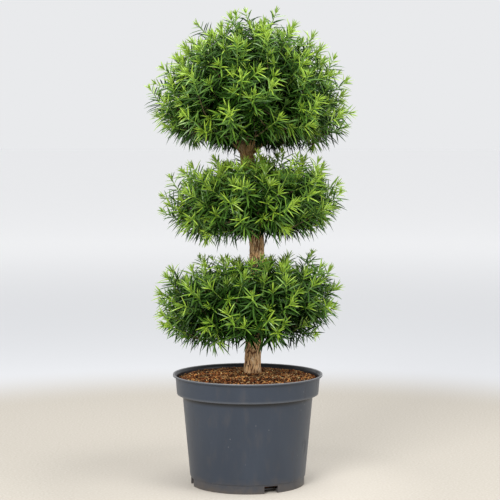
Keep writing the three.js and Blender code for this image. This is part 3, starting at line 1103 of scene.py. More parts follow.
@dataclass
class Compost:
    """Granular compost that fills the pot and mounds up to the trunk, with loose crumbs on it, in mm."""

    edge_radius: float = 121.9
    edge_height: float = 182.5
    mound_radius: float = 40.0
    mound_height: float = 191.6
    slope: tuple[Range, ...] = ((0.15, 0.3), (0.5, 0.65))
    body: tuple[Range, ...] = ((109.0, 160.0), (97.0, 20.0), (90.0, 8.5))
    rings: int = 118
    sides: int = 264
    grain: float = 5.0
    grain_height: float = 1.5
    swell: float = 1.3
    swell_width: float = 16.0
    edge_clear: float = 3.0
    trunk_clear: float = 17.0
    trunk_place: Range = (8.0, 12.0)
    crumb_bias: float = 2.2
    crumb_widths: Range = (0.3, 0.48)
    crumb_depths: Range = (0.3, 0.5)
    crumb_dents: Range = (0.72, 1.22)
    crumb_tilt: float = 0.35
    crumb_lift: float = 0.25
    fibres: int = 300
    fibre_lengths: Range = (5.0, 16.0)
    fibre_radii: Range = (0.245, 0.525)
    fibre_bow: float = 2.2
    fibre_rise: float = 1.6
    fibre_slope: float = 0.12
    fibre_lift: float = 1.2
    smooth: float = 60.0
    seed: int = 5
    crust_finish: Soil = Soil("compost_crust", paint(22, 13, 7), paint(76, 44, 22))
    fibre_finish: Soil = Soil("compost_fibres", paint(150, 112, 70), paint(186, 150, 104), 300.0)

    def level(self, radii: Array) -> Array:
        """Give the smooth height of the mound.

        Args:
            radii: Distances from the pot's axis.

        Returns:
            The height at each of them.
        """
        run = self.mound_radius - self.edge_radius
        climb = self.mound_height - self.edge_height
        shares = np.array([(0.0, 0.0), *self.slope, (1.0, 1.0)])[::-1]
        places = np.array((self.edge_radius, self.edge_height)) + shares * np.array((run, climb))
        return np.interp(radii, places[:, 0], places[:, 1])

    def lump(self, x: float, y: float) -> float:
        """Give the height of the crust's grains over the smooth mound.

        Args:
            x: How far the place is to the right.
            y: How far it is to the back.

        Returns:
            The height.
        """
        near = noise.voronoi(Vector((x / self.grain, y / self.grain, 0.0)))[0]
        wave = noise.fractal(Vector((x / self.swell_width, y / self.swell_width, 4.0)), 1.0, 2.0, 4)
        return self.grain_height * (0.55 - near[0]) + self.swell * wave

    def build(self, effects: Effects) -> None:
        """Make the crust, the loose crumbs and the fibres.

        Args:
            effects: The shared effects.
        """
        skin = self.crust_finish.material(effects)
        crust = self.crust().piece("compost_crust", Slot.COMPOST, [skin], self.smooth)
        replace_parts(crust, "compost")
        rng = np.random.default_rng(self.seed)
        for crumb in Crumb:
            kind = crumb.value
            self.crumbs(kind, rng).piece(kind.name, Slot.COMPOST, [kind.finish().material(effects)])
        self.strands(rng).piece("compost_fibres", Slot.COMPOST, [self.fibre_finish.material(effects)])

    def crust(self) -> Surface:
        """Turn the compost's body and raise its grains.

        Returns:
            The closed surface.
        """
        radii = np.linspace(self.edge_radius, 0.0, self.rings)
        top = np.stack([radii, self.level(radii)], axis=1)
        body = [(0.0, self.body[-1][1]), *self.body[::-1]]
        turned = lathe(np.concatenate([np.array(body), top]), self.sides)
        start = len(self.body) * self.sides
        for row in turned.points[start:-2]:
            row[2] += self.lump(row[0], row[1])
        return turned

    def scatter(self, count: int, rng: Chance) -> Array:
        """Deal places out evenly over the mound, clear of the trunk.

        Args:
            count: How many places are drawn.
            rng: The seeded source of chance.

        Returns:
            Places on the crust.
        """
        radii = (self.edge_radius - self.edge_clear) * np.sqrt(rng.random(count))
        places = around(FULL_TURN * rng.random(count)) * radii[:, None]
        clear = np.linalg.norm(places[:, :2] - np.array(self.trunk_place), axis=1) > self.trunk_clear
        places[:, 2] = self.level(radii) + np.array([self.lump(x, y) for x, y, _ in places])
        return places[clear]

    def crumbs(self, kind: CrumbKind, rng: Chance) -> Surface:
        """Make all crumbs of a kind as dented, flattened lumps.

        Args:
            kind: Which crumbs.
            rng: The seeded source of chance.

        Returns:
            One surface with all of them.
        """
        places = self.scatter(kind.count, rng)
        count = len(places)
        ball, faces = lump_ball()
        lengths = drawn(rng, kind.lengths, count, self.crumb_bias)
        widths = drawn(rng, self.crumb_widths, count)
        depths = drawn(rng, self.crumb_depths, count) * kind.flatness
        sizes = lengths[:, None] * np.stack([np.full(count, 0.5), widths, depths], axis=1)
        lumps = ball * drawn(rng, self.crumb_dents, (count, len(ball), 1)) * sizes[:, None, :]
        tilt = unit(rng.normal(0.0, self.crumb_tilt, (count, 3)) + UP)
        flat = unit(np.cross(rng.normal(size=(count, 3)), tilt))
        axes = np.stack([flat, np.cross(tilt, flat), tilt], axis=1)
        points = places[:, None, :] + lumps @ axes
        points[:, :, 2] += self.crumb_lift * lengths[:, None] * kind.flatness
        numbers = faces[None] + len(ball) * np.arange(count)[:, None, None]
        return Surface(points.reshape(-1, 3), [numbers.reshape(-1, 3)])

    def strands(self, rng: Chance) -> Surface:
        """Make loose fibres that lie bent on the crust.

        Args:
            rng: The seeded source of chance.

        Returns:
            One surface with all of them.
        """
        places = self.scatter(self.fibres, rng)
        count = len(places)
        along = around(FULL_TURN * rng.random(count))
        along[:, 2] = rng.normal(0.0, self.fibre_slope, count)
        reach = drawn(rng, self.fibre_lengths, count, 2.0)[:, None]
        inside = 1.0 - reach / self.edge_radius
        middle = places * np.concatenate([inside, inside, np.ones_like(inside)], axis=1)
        bow = rng.normal(0.0, self.fibre_bow, (count, 3)) + UP * self.fibre_rise
        half = along * reach / 2.0
        lines = bends(middle - half, middle + bow, middle + half, 5) + UP * self.fibre_lift
        radii = drawn(rng, self.fibre_radii, (count, 1)).repeat(lines.shape[1], 1)
        return tubes(lines, radii, 4)


@dataclass(frozen=True)
class BarkRelief:
    """Plates and fissures of the bark, in mm."""

    plate_width: float = 2.8
    plate_height: float = 26.0
    depth: float = 1.4
    ripple: float = 0.5
    fissure: float = 0.26
    fissure_depth: float = 0.6
    warp: float = 0.5

    def at(self, round_place: Array, along: float) -> Range:
        """Read the relief at one place.

        Args:
            round_place: Two coordinates on the limb's round section.
            along: How far along the limb it is.

        Returns:
            The height over the limb's radius, and the tone from 0 in a fissure to 1 on a plate.
        """
        x, y = round_place / self.plate_width
        z = along / self.plate_height
        warp = self.warp * noise.noise(Vector((x * 0.6, y * 0.6, z * 2.0 + 7.0)))
        near = noise.voronoi(Vector((x + warp, y - warp, z)))[0]
        rise = float(smooth_step((near[1] - near[0]) / self.fissure))
        wave = noise.fractal(Vector((x * 1.1, y * 1.1, z * 3.0)), 0.9, 2.1, 4)
        height = self.depth * (rise - self.fissure_depth) + self.ripple * wave
        tone = float(np.clip(0.25 + 0.6 * rise + 0.3 * wave, 0.0, 1.0)) * (0.15 + 0.85 * rise)
        return height, tone


@dataclass
class Limb:
    """A tapering limb with bark relief along a route, in mm."""

    name: str
    route: Route
    foot_radius: float
    tip_radius: float
    relief: BarkRelief
    flare: float = 0.0
    flare_height: float = 14.0
    flutes: int = 5
    flute_depth: float = 0.09
    sides: int = 84
    ring_step: float = 1.1
    full_relief_radius: float = 9.0
    smooth: float = 50.0

    def radius(self, share: Array, angle: Array) -> Array:
        """Give the radius without relief.

        Args:
            share: Shares of the length, as a column.
            angle: Angles round the limb, as a row.

        Returns:
            The radius at each place.
        """
        spread = np.exp(-share * self.route.length / self.flare_height)
        taper = self.foot_radius + (self.tip_radius - self.foot_radius) * share
        flute = 1.0 + self.flute_depth * spread * np.cos(self.flutes * angle)
        return (taper + self.flare * spread) * flute

    def surface(self) -> Surface:
        """Make the limb's closed skin with its relief.

        Returns:
            The surface, with the relief's tone at each corner.
        """
        rings = max(6, round(self.route.length / self.ring_step))
        share = np.linspace(0.0, 1.0, rings)
        middle = self.route.at(share)
        headings = unit(np.gradient(middle, axis=0))
        side, _ = cross_axes(np.repeat(unit(headings.mean(axis=0))[None], rings, axis=0))
        side = square_to(side, headings)
        angles = ring_angles(self.sides)
        out = spokes(side[:, None], np.cross(headings, side)[:, None], angles)
        mean = (self.foot_radius + self.tip_radius) / 2.0
        section = around(angles)[:, :2] * mean
        # Each limb reads the relief from a start of its own, so no two look the same.
        start = middle.sum(axis=0)[0] * 0.01
        stations = share * self.route.length + start
        read = np.array([[self.relief.at(row, station) for row in section] for station in stations])
        raised = read[:, :, 0] * min(1.0, mean / self.full_relief_radius)
        points = middle[:, None] + out * (self.radius(share[:, None], angles[None]) + raised)[:, :, None]
        poles = middle[[0, -1]]
        tone = np.concatenate([read[:, :, 1].ravel(), [0.5, 0.5]])
        corners = np.concatenate([points.reshape(-1, 3), poles])
        return Surface(corners, closed_faces(rings, self.sides), relief=tone)

    def build(self, bark: Material, node: str) -> None:
        """Make the limb and put it in place of its solid."""
        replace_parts(self.surface().piece(self.name, Slot.BARK, [bark], self.smooth), node)


@dataclass(frozen=True)
class Form:
    """The clipped outline of a pompon, a squared-off ball that differs above and below, in mm."""

    radius: float
    rise: float
    drop: float
    square_above: float
    square_below: float

    STEPS = 400
    HALVINGS = 18

    def shrunk(self, side: float, top: float, bottom: float) -> "Form":
        """Give the outline drawn in at its side, top and bottom."""
        return replace(self, radius=self.radius - side, rise=self.rise - top, drop=self.drop - bottom)

    def halves(self, heights: Array) -> tuple[Array, Array]:
        """Give the half height and the squareness that hold at heights."""
        below = heights < 0
        return np.where(below, self.drop, self.rise), np.where(below, self.square_below, self.square_above)

    def outline(self, elevations: Array) -> tuple[Array, Array]:
        """Read the outline.

        Args:
            elevations: Angles over the middle, in radians.

        Returns:
            The radius and the height at each of them.
        """
        half, square = self.halves(elevations)
        power = 2.0 / square
        height = np.sign(elevations) * half * np.abs(np.sin(elevations)) ** power
        return self.radius * np.cos(elevations) ** power, height

    def fullness(self, points: Array) -> Array:
        """Tell how far out points are.

        Args:
            points: The points.

        Returns:
            Values under 1 inside the outline, and 1 on it.
        """
        half, power = self.halves(points[..., 2])
        across = np.hypot(points[..., 0], points[..., 1]) / self.radius
        return across**power + (np.abs(points[..., 2]) / half) ** power

    def outward(self, points: Array) -> Array:
        """Give the direction straight out of the outline.

        Args:
            points: Points on it.

        Returns:
            A unit vector for each.
        """
        half, square = self.halves(points[..., 2])
        radius = np.hypot(points[..., 0], points[..., 1])
        across = (radius / self.radius) ** (square - 1) / self.radius
        upright = np.sign(points[..., 2]) * (np.abs(points[..., 2]) / half) ** (square - 1) / half
        bearing = np.arctan2(points[..., 1], points[..., 0])
        return unit(around(bearing) * across[..., None] + UP * upright[..., None])

    def reach(self, starts: Array, headings: Array) -> Array:
        """Find how far points can go before they leave the outline.

        Args:
            starts: Points inside it.
            headings: The unit vector that each goes along.

        Returns:
            The distances.
        """
        near = np.zeros(starts.shape[:-1])
        far = np.full(starts.shape[:-1], 2.0 * self.radius)
        for _ in range(self.HALVINGS):
            middle = (near + far) / 2.0
            inside = self.fullness(starts + headings * middle[..., None]) < 1.0
            near = np.where(inside, middle, near)
            far = np.where(inside, far, middle)
        return near

    def even_places(self, count: int, lowest: float) -> tuple[Array, Array]:
        """Share the outline's surface out evenly.

        Args:
            count: How many places are wanted.
            lowest: The lowest elevation, in degrees.

        Returns:
            The radius and the height of each place, from the lowest up.
        """
        steps = np.linspace(math.radians(lowest), math.pi / 2 - 1e-3, self.STEPS)
        radius, height = self.outline(steps)
        slant = np.hypot(np.diff(radius), np.diff(height)) * (radius[1:] + radius[:-1])
        areas = np.concatenate([[0.0], np.cumsum(slant)])
        wanted = areas[-1] * (np.arange(count) + 0.5) / count
        return self.outline(np.interp(wanted, areas, steps))


@dataclass(frozen=True)
class NeedleLook:
    """How needles of one age look: label, colour and sheen, with a paler and duller underside."""

    label: str
    colour: Colour
    sheen: float
    pale: Colour = paint(108, 138, 78)
    pale_share: float = 0.18
    dull: Range = (0.5, 0.65)

    def skins(self, effects: Effects) -> list[Material]:
        """Make the finishes of the upper side and of the underside.

        Args:
            effects: The shared effects.

        Returns:
            The two materials.
        """
        name = f"needle_{self.label}"
        mixed = [(1.0 - self.pale_share) * c + self.pale_share * p for c, p in zip(self.colour, self.pale)]
        upper = NeedleSkin(name, self.colour, self.sheen)
        under = NeedleSkin(f"{name}_under", tuple(mixed), self.sheen, self.dull)
        return [upper.material(effects), under.material(effects)]


class Age(Enum):
    """Needles by age, from last year's inside to this week's at the tips; the darkest, in the inner layers,
    also paint shade.
    """

    DEEP = NeedleLook("deep", paint(11, 29, 3), 0.04)
    OLD = NeedleLook("old", paint(31, 59, 11), 0.1)
    MATURE = NeedleLook("mature", paint(56, 89, 26), 0.26)
    GREEN = NeedleLook("green", paint(77, 113, 33), 0.4)
    FRESH = NeedleLook("fresh", paint(106, 142, 39), 0.46)
    TENDER = NeedleLook("tender", paint(142, 172, 51), 0.5)


AGE_STEPS = (-0.12, 0.16, 0.38, 0.58, 0.8)


@dataclass(frozen=True)
class ShootLayer:
    """Shoots of one kind: length of stem in mm, needles, how fresh they are, seed, ends, number and depth."""

    stem: float
    needles: int
    freshness: float
    seed_step: int
    ends: Range = (0.0, 0.0)
    per_spray: float = 0.0
    depth: float = 0.0


# Deeper layers are darker: partly older needles, partly painted shade inside the pompon.
LAYERS = (
    ShootLayer(70.0, 32, 0.02, 0, (1.0, 25.0), 1.0, 0.0),
    ShootLayer(52.0, 22, -0.24, 100, (-22.0, -4.0), 1.9, 0.05),
    ShootLayer(46.0, 22, -0.62, 200, (-37.0, -20.0), 1.9, 0.26),
    ShootLayer(40.0, 18, -1.0, 300, (-70.0, -50.0), 1.2, 0.52),
)
# Shoots round the stem are darker: painted shade in the pompon's hollow underside.
MOUTH = ShootLayer(34.0, 20, -0.5, 400)
COLLAR = ShootLayer(44.0, 22, -0.24, 500, (-9.0, 5.0))


@dataclass
class Stand:
    """Where needles stand: their shoots' directions, the share of the shoot, and which are in its tuft."""

    axis: Array
    along: Array
    in_tuft: Array


@dataclass(frozen=True)
class NeedleRule:
    """How needles grow on a shoot, in mm and degrees."""

    length: float = 27.0
    width: float = 2.85
    thickness: float = 0.46
    shortest: float = 7.0
    stations: Range = (0.08, 0.96)
    tuft_station: float = 0.99
    station_limits: Range = (0.02, 1.0)
    station_chance: float = 0.012
    lean: Range = (74.0, 48.0)
    lean_limits: Range = (3.0, 95.0)
    lean_power: float = 2.2
    lean_chance: float = 6.0
    turn_chance: float = 0.2
    vigour: Range = (0.84, 1.14)
    tuft: int = 9
    tuft_length: float = 19.0
    tuft_lean: Range = (6.0, 42.0)
    bow: Range = (-0.08, 0.064)
    droop: float = 0.2
    droop_in_tuft: float = 0.04
    droop_below: float = 0.12
    face_up: float = 0.7
    overshoot: Range = (8.25, 15.0)
    trunk_margin: float = 2.0

    def stand(self, headings: Array, needles: int, rng: Chance) -> Stand:
        """Share needles out along shoots, with a tuft at the tip.

        Args:
            headings: The shoots' directions.
            needles: How many needles a shoot has besides its tuft.
            rng: The seeded source of chance.

        Returns:
            Where they stand, as shoots by needles.
        """
        row = np.concatenate([np.linspace(*self.stations, needles), np.full(self.tuft, self.tuft_station)])
        uneven = rng.normal(0.0, self.station_chance, (len(headings), len(row)))
        axis = headings[:, None].repeat(len(row), 1)
        return Stand(axis, np.clip(row + uneven, *self.station_limits), np.arange(len(row)) >= needles)

    def headings(self, stand: Stand, rng: Chance) -> Array:
        """Point needles out of their shoots by the golden angle, more steeply towards the tip.

        Args:
            stand: Where the needles stand.
            rng: The seeded source of chance.

        Returns:
            A unit vector for each needle.
        """
        shape = stand.along.shape
        turn = GOLDEN_ANGLE * np.arange(shape[1]) + FULL_TURN * rng.random((shape[0], 1))
        turn = turn + rng.normal(0.0, self.turn_chance, shape)
        low, high = self.lean
        in_tip = drawn(rng, self.tuft_lean, shape)
        uneven = rng.normal(0.0, self.lean_chance, shape)
        below_tip = low + (high - low) * stand.along**self.lean_power + uneven
        degrees = np.clip(np.where(stand.in_tuft, in_tip, below_tip), *self.lean_limits)
        lean = np.radians(degrees)[..., None]
        return unit(spokes(*cross_axes(stand.axis), turn) * np.sin(lean) + stand.axis * np.cos(lean))

    def lengths(self, stand: Stand, rng: Chance) -> Array:
        """Give needles their full lengths, longest about the middle of a shoot."""
        full = self.length * (0.66 + 0.5 * np.sin(math.pi * (0.14 + 0.74 * stand.along)))
        return np.where(stand.in_tuft, self.tuft_length, full) * drawn(rng, self.vigour, full.shape)

    def bows(self, stand: Stand, rng: Chance) -> Array:
        """Bow needles along their shoots and let them droop.

        Args:
            stand: Where the needles stand.
            rng: The seeded source of chance.

        Returns:
            How far each tip is bent aside, as a share of the needle's length.
        """
        limp = self.droop * (1.0 - 0.6 * stand.along**3)
        droop = np.where(stand.in_tuft, self.droop_in_tuft, limp)[..., None]
        droop = droop + self.droop_below * np.clip(-stand.axis[..., 2:], 0.0, 1.0)
        return stand.axis * drawn(rng, self.bow, droop.shape) - UP * droop


@dataclass(frozen=True)
class Ageing:
    """How fresh a needle is by its place, with painted shade on hanging shoots and painted light low on the
    underside.
    """

    least: float = 0.02
    along: float = 0.3
    tip: float = 0.72
    tip_from: float = 0.72
    tip_range: float = 0.27
    vigour: float = 0.28
    chance: float = 0.16
    painted_shade_hanging: float = -0.05
    painted_light_below: float = 0.18
    painted_light_below_from: float = 0.15
    tuft: float = 0.06

    def freshness(self, stand: Stand, depth: Array, rng: Chance) -> Array:
        """Give the freshness, which grows towards the tip of a shoot.

        Args:
            stand: Where the needles stand.
            depth: How far down the pompon's underside they are, from 0 to 1.
            rng: The seeded source of chance.

        Returns:
            The freshness of each needle.
        """
        along = stand.along
        shoot = self.vigour * (rng.random((len(along), 1)) - 0.5)
        tip = smooth_step((along - self.tip_from) / self.tip_range)
        grown = self.least + self.along * along + self.tip * tip + np.where(stand.in_tuft, self.tuft, 0.0)
        # Painted shade darkens shoots that hang; painted light lightens needles low on the underside, where
        # shade falls.
        placed = self.painted_shade_hanging * np.clip(-stand.axis[..., 2], 0.0, 1.0)
        placed = placed + self.painted_light_below * smooth_step(depth - self.painted_light_below_from)
        return grown + shoot + placed + rng.normal(0.0, self.chance, along.shape)


@dataclass
class Needles:
    """Needles of a pompon as arrays, one row a needle, in mm."""

    base: Array
    heading: Array
    face: Array
    bow: Array
    length: Array
    freshness: Array

    STATIONS = (0.0, 0.3, 0.7)
    WIDTHS = (0.5, 1.0, 0.86)
    EDGES = ((0, 1), (1, 2), (2, 0))

    def columns(self) -> tuple[Array, ...]:
        """Give the arrays in order."""
        return self.base, self.heading, self.face, self.bow, self.length, self.freshness

    def keep(self, rows: Array) -> "Needles":
        """Give only the needles of these rows."""
        return Needles(*(column[rows] for column in self.columns()))

    @classmethod
    def joined(cls, parts: list["Needles"]) -> "Needles":
        """Join several sets of needles."""
        return cls(*(np.concatenate(column) for column in zip(*(part.columns() for part in parts))))

    def middle(self, share: float) -> Array:
        """Give the middle line's points at a share of the length."""
        return self.base + (self.heading * share + self.bow * share**2) * self.length[:, None]

    def surface(self, rule: NeedleRule) -> Surface:
        """Make each needle a closed blade with a flat underside and a ridge, in few faces.

        Args:
            rule: How wide and thick a needle is.

        Returns:
            One surface with all of them, whose second face slot is the underside.
        """
        count = len(self.length)
        face = square_to(self.face, self.heading)
        side = np.cross(self.heading, face)
        half = rule.width / 2.0 * np.clip(self.length / rule.length, 0.7, 1.1)[:, None]
        rings = []
        for share, width in zip(self.STATIONS, self.WIDTHS):
            middle = self.middle(share)
            ridge = face * half * width * 2.0 * rule.thickness
            rings += [middle - side * half * width, middle + side * half * width, middle + ridge]
        tip = len(rings)
        points = np.stack([*rings, self.middle(1.0)], axis=1)
        triangles = []
        for low in range(0, tip - 3, 3):
            for a, b in self.EDGES:
                triangles += [(low + a, low + a + 3, low + b + 3), (low + a, low + b + 3, low + b)]
        under = [k % 6 < 2 for k in range(len(triangles))] + [True, False, False, False]
        triangles += [(tip - 3 + a, tip, tip - 3 + b) for a, b in self.EDGES] + [(0, 1, 2)]
        numbers = np.array(triangles)[None] + (tip + 1) * np.arange(count)[:, None, None]
        return Surface(points.reshape(-1, 3), [numbers.reshape(-1, 3)], np.tile(under, count))


class PlantFinishes:
    """The finishes that all limbs and pompons share."""

    def __init__(self, effects: Effects) -> None:
        """Build each finish once.

        Args:
            effects: The shared effects.
        """
        self.bark = Bark().material(effects)
        self.twig = TwigSkin("twig_bark", paint(66, 54, 28), paint(114, 96, 60)).material(effects)
        self.stem = TwigSkin("green_stem", paint(112, 142, 44), paint(140, 164, 62)).material(effects)
        self.needles = {age: age.value.skins(effects) for age in Age}


@dataclass(frozen=True)
class Boughs:
    """The boughs that carry a pompon, in mm and degrees."""

    count: int
    turn: float
    foot: float
    foot_radius: float
    tip_radius: float
    reach: float
    leader_foot: float | None = None
    leader_radius: float = 0.0
    sag: float = 0.16
    short_of_core: float = 5.0
    sides: int = 30
    ring_step: float = 1.6
    relief: BarkRelief = BarkRelief(plate_width=3.0, plate_height=11.0, depth=0.9)


@dataclass
class Pompon:
    """One clipped pompon: boughs, twigs and shoots of needles, in mm in its own tilted frame."""

    name: str
    centre: Place
    tilt_side: float
    tilt_front: float
    form: Form
    mouth_radius: float
    ceiling_radius: float
    ceiling_height: float
    sprays: int
    seed: int
    boughs: Boughs
    youth: float
    core_insets: Place = (17.0, 17.0, 13.0)
    lowest: float = -66.0
    lift: float = 0.45
    splay: float = 0.4
    splay_radius: float = 60.0
    level_below: float = 0.5
    waver: float = 0.3
    longest_reach: float = 44.0
    short_ends: float = 1.35
    spread: float = 0.35
    stem_shares: Range = (0.85, 1.15)
    stem_room: Place = (0.75, 0.75, 0.65)
    stem_sag: float = 0.06
    outmost_start: float = 0.85
    mouth_margin: float = 27.0
    mouth_shoots: int = 22
    mouth_stations: Range = (0.55, 0.98)
    mouth_stems: Range = (0.6, 1.1)
    mouth_waver: float = 0.7
    mouth_rise: Range = (0.05, 0.2)
    collar_shoots: int = 14
    collar_distances: Range = (13.0, 33.0)
    collar_splay: float = 0.25
    inner_twigs: float = 0.4
    heart_insets: Place = (0.5, 0.5, 0.6)
    branch_stations: int = 9
    branch_lean: float = 0.45
    branch_radii: Range = (3.2, 1.9)
    branch_sides: int = 6
    fork_stations: tuple[int, ...] = (4, 6, 8)
    twig_stations: int = 5
    twig_lean: float = 0.4
    twig_radii: Range = (1.6, 1.15)
    twig_sides: int = 4
    stem_stations: int = 3
    brown_radii: Range = (1.15, 0.9)
    green_radii: Range = (0.9, 0.45)
    smooth: float = 60.0
    rule: NeedleRule = NeedleRule()
    ageing: Ageing = Ageing()

    def axes(self) -> Array:
        """Turn the pompon's frame.

        Returns:
            Its axes as the rows of a matrix.
        """
        front, side = math.radians(self.tilt_front), math.radians(self.tilt_side)
        cf, sf = math.cos(front), math.sin(front)
        cs, ss = math.cos(side), math.sin(side)
        about_x = np.array([(1, 0, 0), (0, cf, -sf), (0, sf, cf)])
        about_y = np.array([(cs, 0, ss), (0, 1, 0), (-ss, 0, cs)])
        return (about_x @ about_y).T

    def placed(self, points: Array) -> Array:
        """Move points from the pompon's frame to the part's."""
        return points @ self.axes() + np.array(self.centre)

    def local(self, points: Array) -> Array:
        """Move points from the part's frame to the pompon's."""
        return (points - np.array(self.centre)) @ self.axes().T

    def core(self, depth: float = 0.0) -> Form:
        """Give the outline that sprays stand out of, drawn in by a share of its size."""
        core = self.form.shrunk(*self.core_insets)
        return core.shrunk(depth * core.radius, depth * core.rise, depth * core.drop)

    def chance(self, layer: ShootLayer) -> Chance:
        """Start a layer's own source of chance."""
        return np.random.default_rng(self.seed + layer.seed_step)

    def build(self, trunk: Limb, finishes: PlantFinishes) -> None:
        """Grow the pompon's limbs, twigs and needles and put them in place of its solids.

        Args:
            trunk: The trunk that carries it.
            finishes: The plant's finishes.
        """
        lines = self.build_boughs(trunk.route, finishes.bark)
        inner = self.inner_lines(lines)
        forks = np.concatenate([inner[:, station] for station in self.fork_stations])
        growth = [(layer, *self.shoots(layer)) for layer in LAYERS]
        wood = [tubes(self.placed(inner), tapered(self.branch_radii, inner), self.branch_sides)]
        wood += [self.twigs(forks, starts, tips) for _, starts, tips, _ in growth]
        growth.append((MOUTH, *self.close_mouth(lines)))
        growth.append((COLLAR, *self.close_collar(trunk)))
        stems = [self.stems(starts, tips) for _, starts, tips, _ in growth]
        wood += [brown for brown, _ in stems]
        green = [young for _, young in stems]
        Surface.joined(wood).piece(f"twigs_{self.name}", Slot.BARK, [finishes.twig], self.smooth)
        Surface.joined(green).piece(f"green_stems_{self.name}", Slot.NEEDLES, [finishes.stem], self.smooth)
        needles = [self.needles(trunk, *grown) for grown in growth]
        self.lay_needles(Needles.joined(needles), finishes)

    def bough_ends(self) -> list[tuple[float, float, Array]]:
        """Place the boughs' ends in the hollow underside.

        Returns:
            The height of each bough's foot, its radius there and its end.
        """
        plan = self.boughs
        drop = self.core().drop
        radius = self.mouth_radius + plan.reach * (self.ceiling_radius - self.mouth_radius)
        height = -drop + plan.reach * (self.ceiling_height + drop)
        bearings = math.radians(plan.turn) + FULL_TURN * np.arange(plan.count) / plan.count
        rows = [(plan.foot, plan.foot_radius, end) for end in around(bearings) * radius + UP * height]
        if plan.leader_foot is not None:
            rows.append((plan.leader_foot, plan.leader_radius, UP * self.ceiling_height))
        return rows

    def build_boughs(self, trunk: Route, bark: Material) -> Array:
        """Grow the boughs from the trunk to where they enter the foliage.

        Args:
            trunk: The trunk's middle line.
            bark: Their finish.

        Returns:
            The points of each bough in the pompon's frame.
        """
        plan = self.boughs
        lines = []
        for number, (foot, radius, end) in enumerate(self.bough_ends(), 1):
            start = self.local(trunk.at_height(np.array([foot])))[0]
            tip = end + (start - end) * plan.short_of_core / np.linalg.norm(end - start)
            middle = (start + tip) / 2.0 - UP * plan.sag * np.linalg.norm(tip - start)
            line = bends(start[None], middle[None], tip[None], BOUGH_STATIONS)[0]
            name = f"bough_{self.name}_{number}"
            limb = Limb(f"{name}_bark", Route(self.placed(line)), radius, plan.tip_radius, plan.relief,
                        sides=plan.sides, ring_step=plan.ring_step)
            limb.build(bark, name)
            lines.append(line)
        return np.array(lines)

    def inner_lines(self, lines: Array) -> Array:
        """Carry the boughs on as branches that spread inside the pompon.

        Args:
            lines: The points of each bough.

        Returns:
            The points of each branch.
        """
        tips = lines[:, -1]
        headings = unit(tips - lines[:, -2])
        core = self.core()
        side, top, bottom = self.heart_insets
        heart = core.shrunk(side * core.radius, top * core.rise, bottom * core.drop)
        count = round(self.inner_twigs * self.sprays)
        radius, height = heart.even_places(count, self.lowest)
        ends = around(GOLDEN_ANGLE * np.arange(count)) * radius[:, None] + UP * height[:, None]
        parent = nearest(ends, tips)
        away = np.linalg.norm(ends - tips[parent], axis=1, keepdims=True)
        middles = tips[parent] + headings[parent] * self.branch_lean * away
        return bends(tips[parent], middles, ends, self.branch_stations)

    def shoots(self, layer: ShootLayer) -> Shoots:
        """Place a layer's shoots by the golden angle, climbing from the underside to the top.

        Args:
            layer: Which depth of shoots.

        Returns:
            The shoots' starts and tips, and the source of chance for what grows on them.
        """
        rng = self.chance(layer)
        core = self.core(layer.depth)
        count = round(layer.per_spray * self.sprays)
        radius, height = core.even_places(count, self.lowest)
        bearings = GOLDEN_ANGLE * np.arange(count) + self.spread * (rng.random(count) - 0.5)
        aside = around(bearings)
        roots = aside * radius[:, None] + UP * height[:, None]
        out = core.outward(roots)
        out[:, 2] *= np.where(out[:, 2] < 0, self.level_below, 1.0)
        near_top = np.minimum(radius / self.splay_radius, 1.0)[:, None]
        splay = self.splay * np.clip(out[:, 2:], 0.0, 1.0) * near_top
        headings = unit(out + UP * self.lift + aside * splay + rng.normal(0.0, self.waver, out.shape))
        ends = drawn(rng, layer.ends, count, self.short_ends)
        room = np.minimum(self.form.reach(roots, headings), self.longest_reach)
        tips = roots + headings * (room + ends - self.rule.tuft_length)[:, None]
        away = np.linalg.norm(tips * np.array(self.stem_room), axis=1)
        stem = np.minimum(layer.stem * drawn(rng, self.stem_shares, count), away)[:, None]
        starts = tips - headings * stem - UP * self.stem_sag * stem
        kept = (height > 0) | (radius > (1.0 - layer.depth) * self.mouth_radius + self.mouth_margin)
        kept &= self.form.fullness(starts) < self.outmost_start
        return starts[kept], tips[kept], rng

    def close_mouth(self, lines: Array) -> Shoots:
        """Place short shoots along the boughs, so that the pompon closes round its stem.

        Args:
            lines: The points of each bough.

        Returns:
            The shoots' starts and tips, and the source of chance for what grows on them.
        """
        rng = self.chance(MOUTH)
        count = self.mouth_shoots
        station = ((BOUGH_STATIONS - 1) * drawn(rng, self.mouth_stations, count)).astype(int)
        starts = lines[np.arange(count) % self.boughs.count, station]
        headings = around(np.arctan2(starts[:, 1], starts[:, 0]) + rng.normal(0.0, self.mouth_waver, count))
        headings[:, 2] = rng.normal(*self.mouth_rise, count)
        stem = MOUTH.stem * drawn(rng, self.mouth_stems, (count, 1))
        return starts, starts + unit(headings) * stem, rng

    def close_collar(self, trunk: Limb) -> Shoots:
        """Place shoots round the trunk where it leaves the top of the pompon.

        Args:
            trunk: The trunk that they stand round.

        Returns:
            The shoots' starts and tips, and the source of chance for what grows on them.
        """
        rng = self.chance(COLLAR)
        count = self.collar_shoots
        ring = around(GOLDEN_ANGLE * np.arange(count) + self.spread * rng.random(count))
        heights = self.form.rise + drawn(rng, COLLAR.ends, count) - self.rule.tuft_length
        away = trunk.foot_radius + drawn(rng, self.collar_distances, count)
        top = self.placed(UP[None] * self.form.rise)[:, 2]
        axis = self.local(trunk.route.at_height(top))[0] * np.array((1.0, 1.0, 0.0))
        tips = axis + ring * away[:, None] + UP * heights[:, None]
        return tips - unit(UP + self.collar_splay * ring) * COLLAR.stem, tips, rng

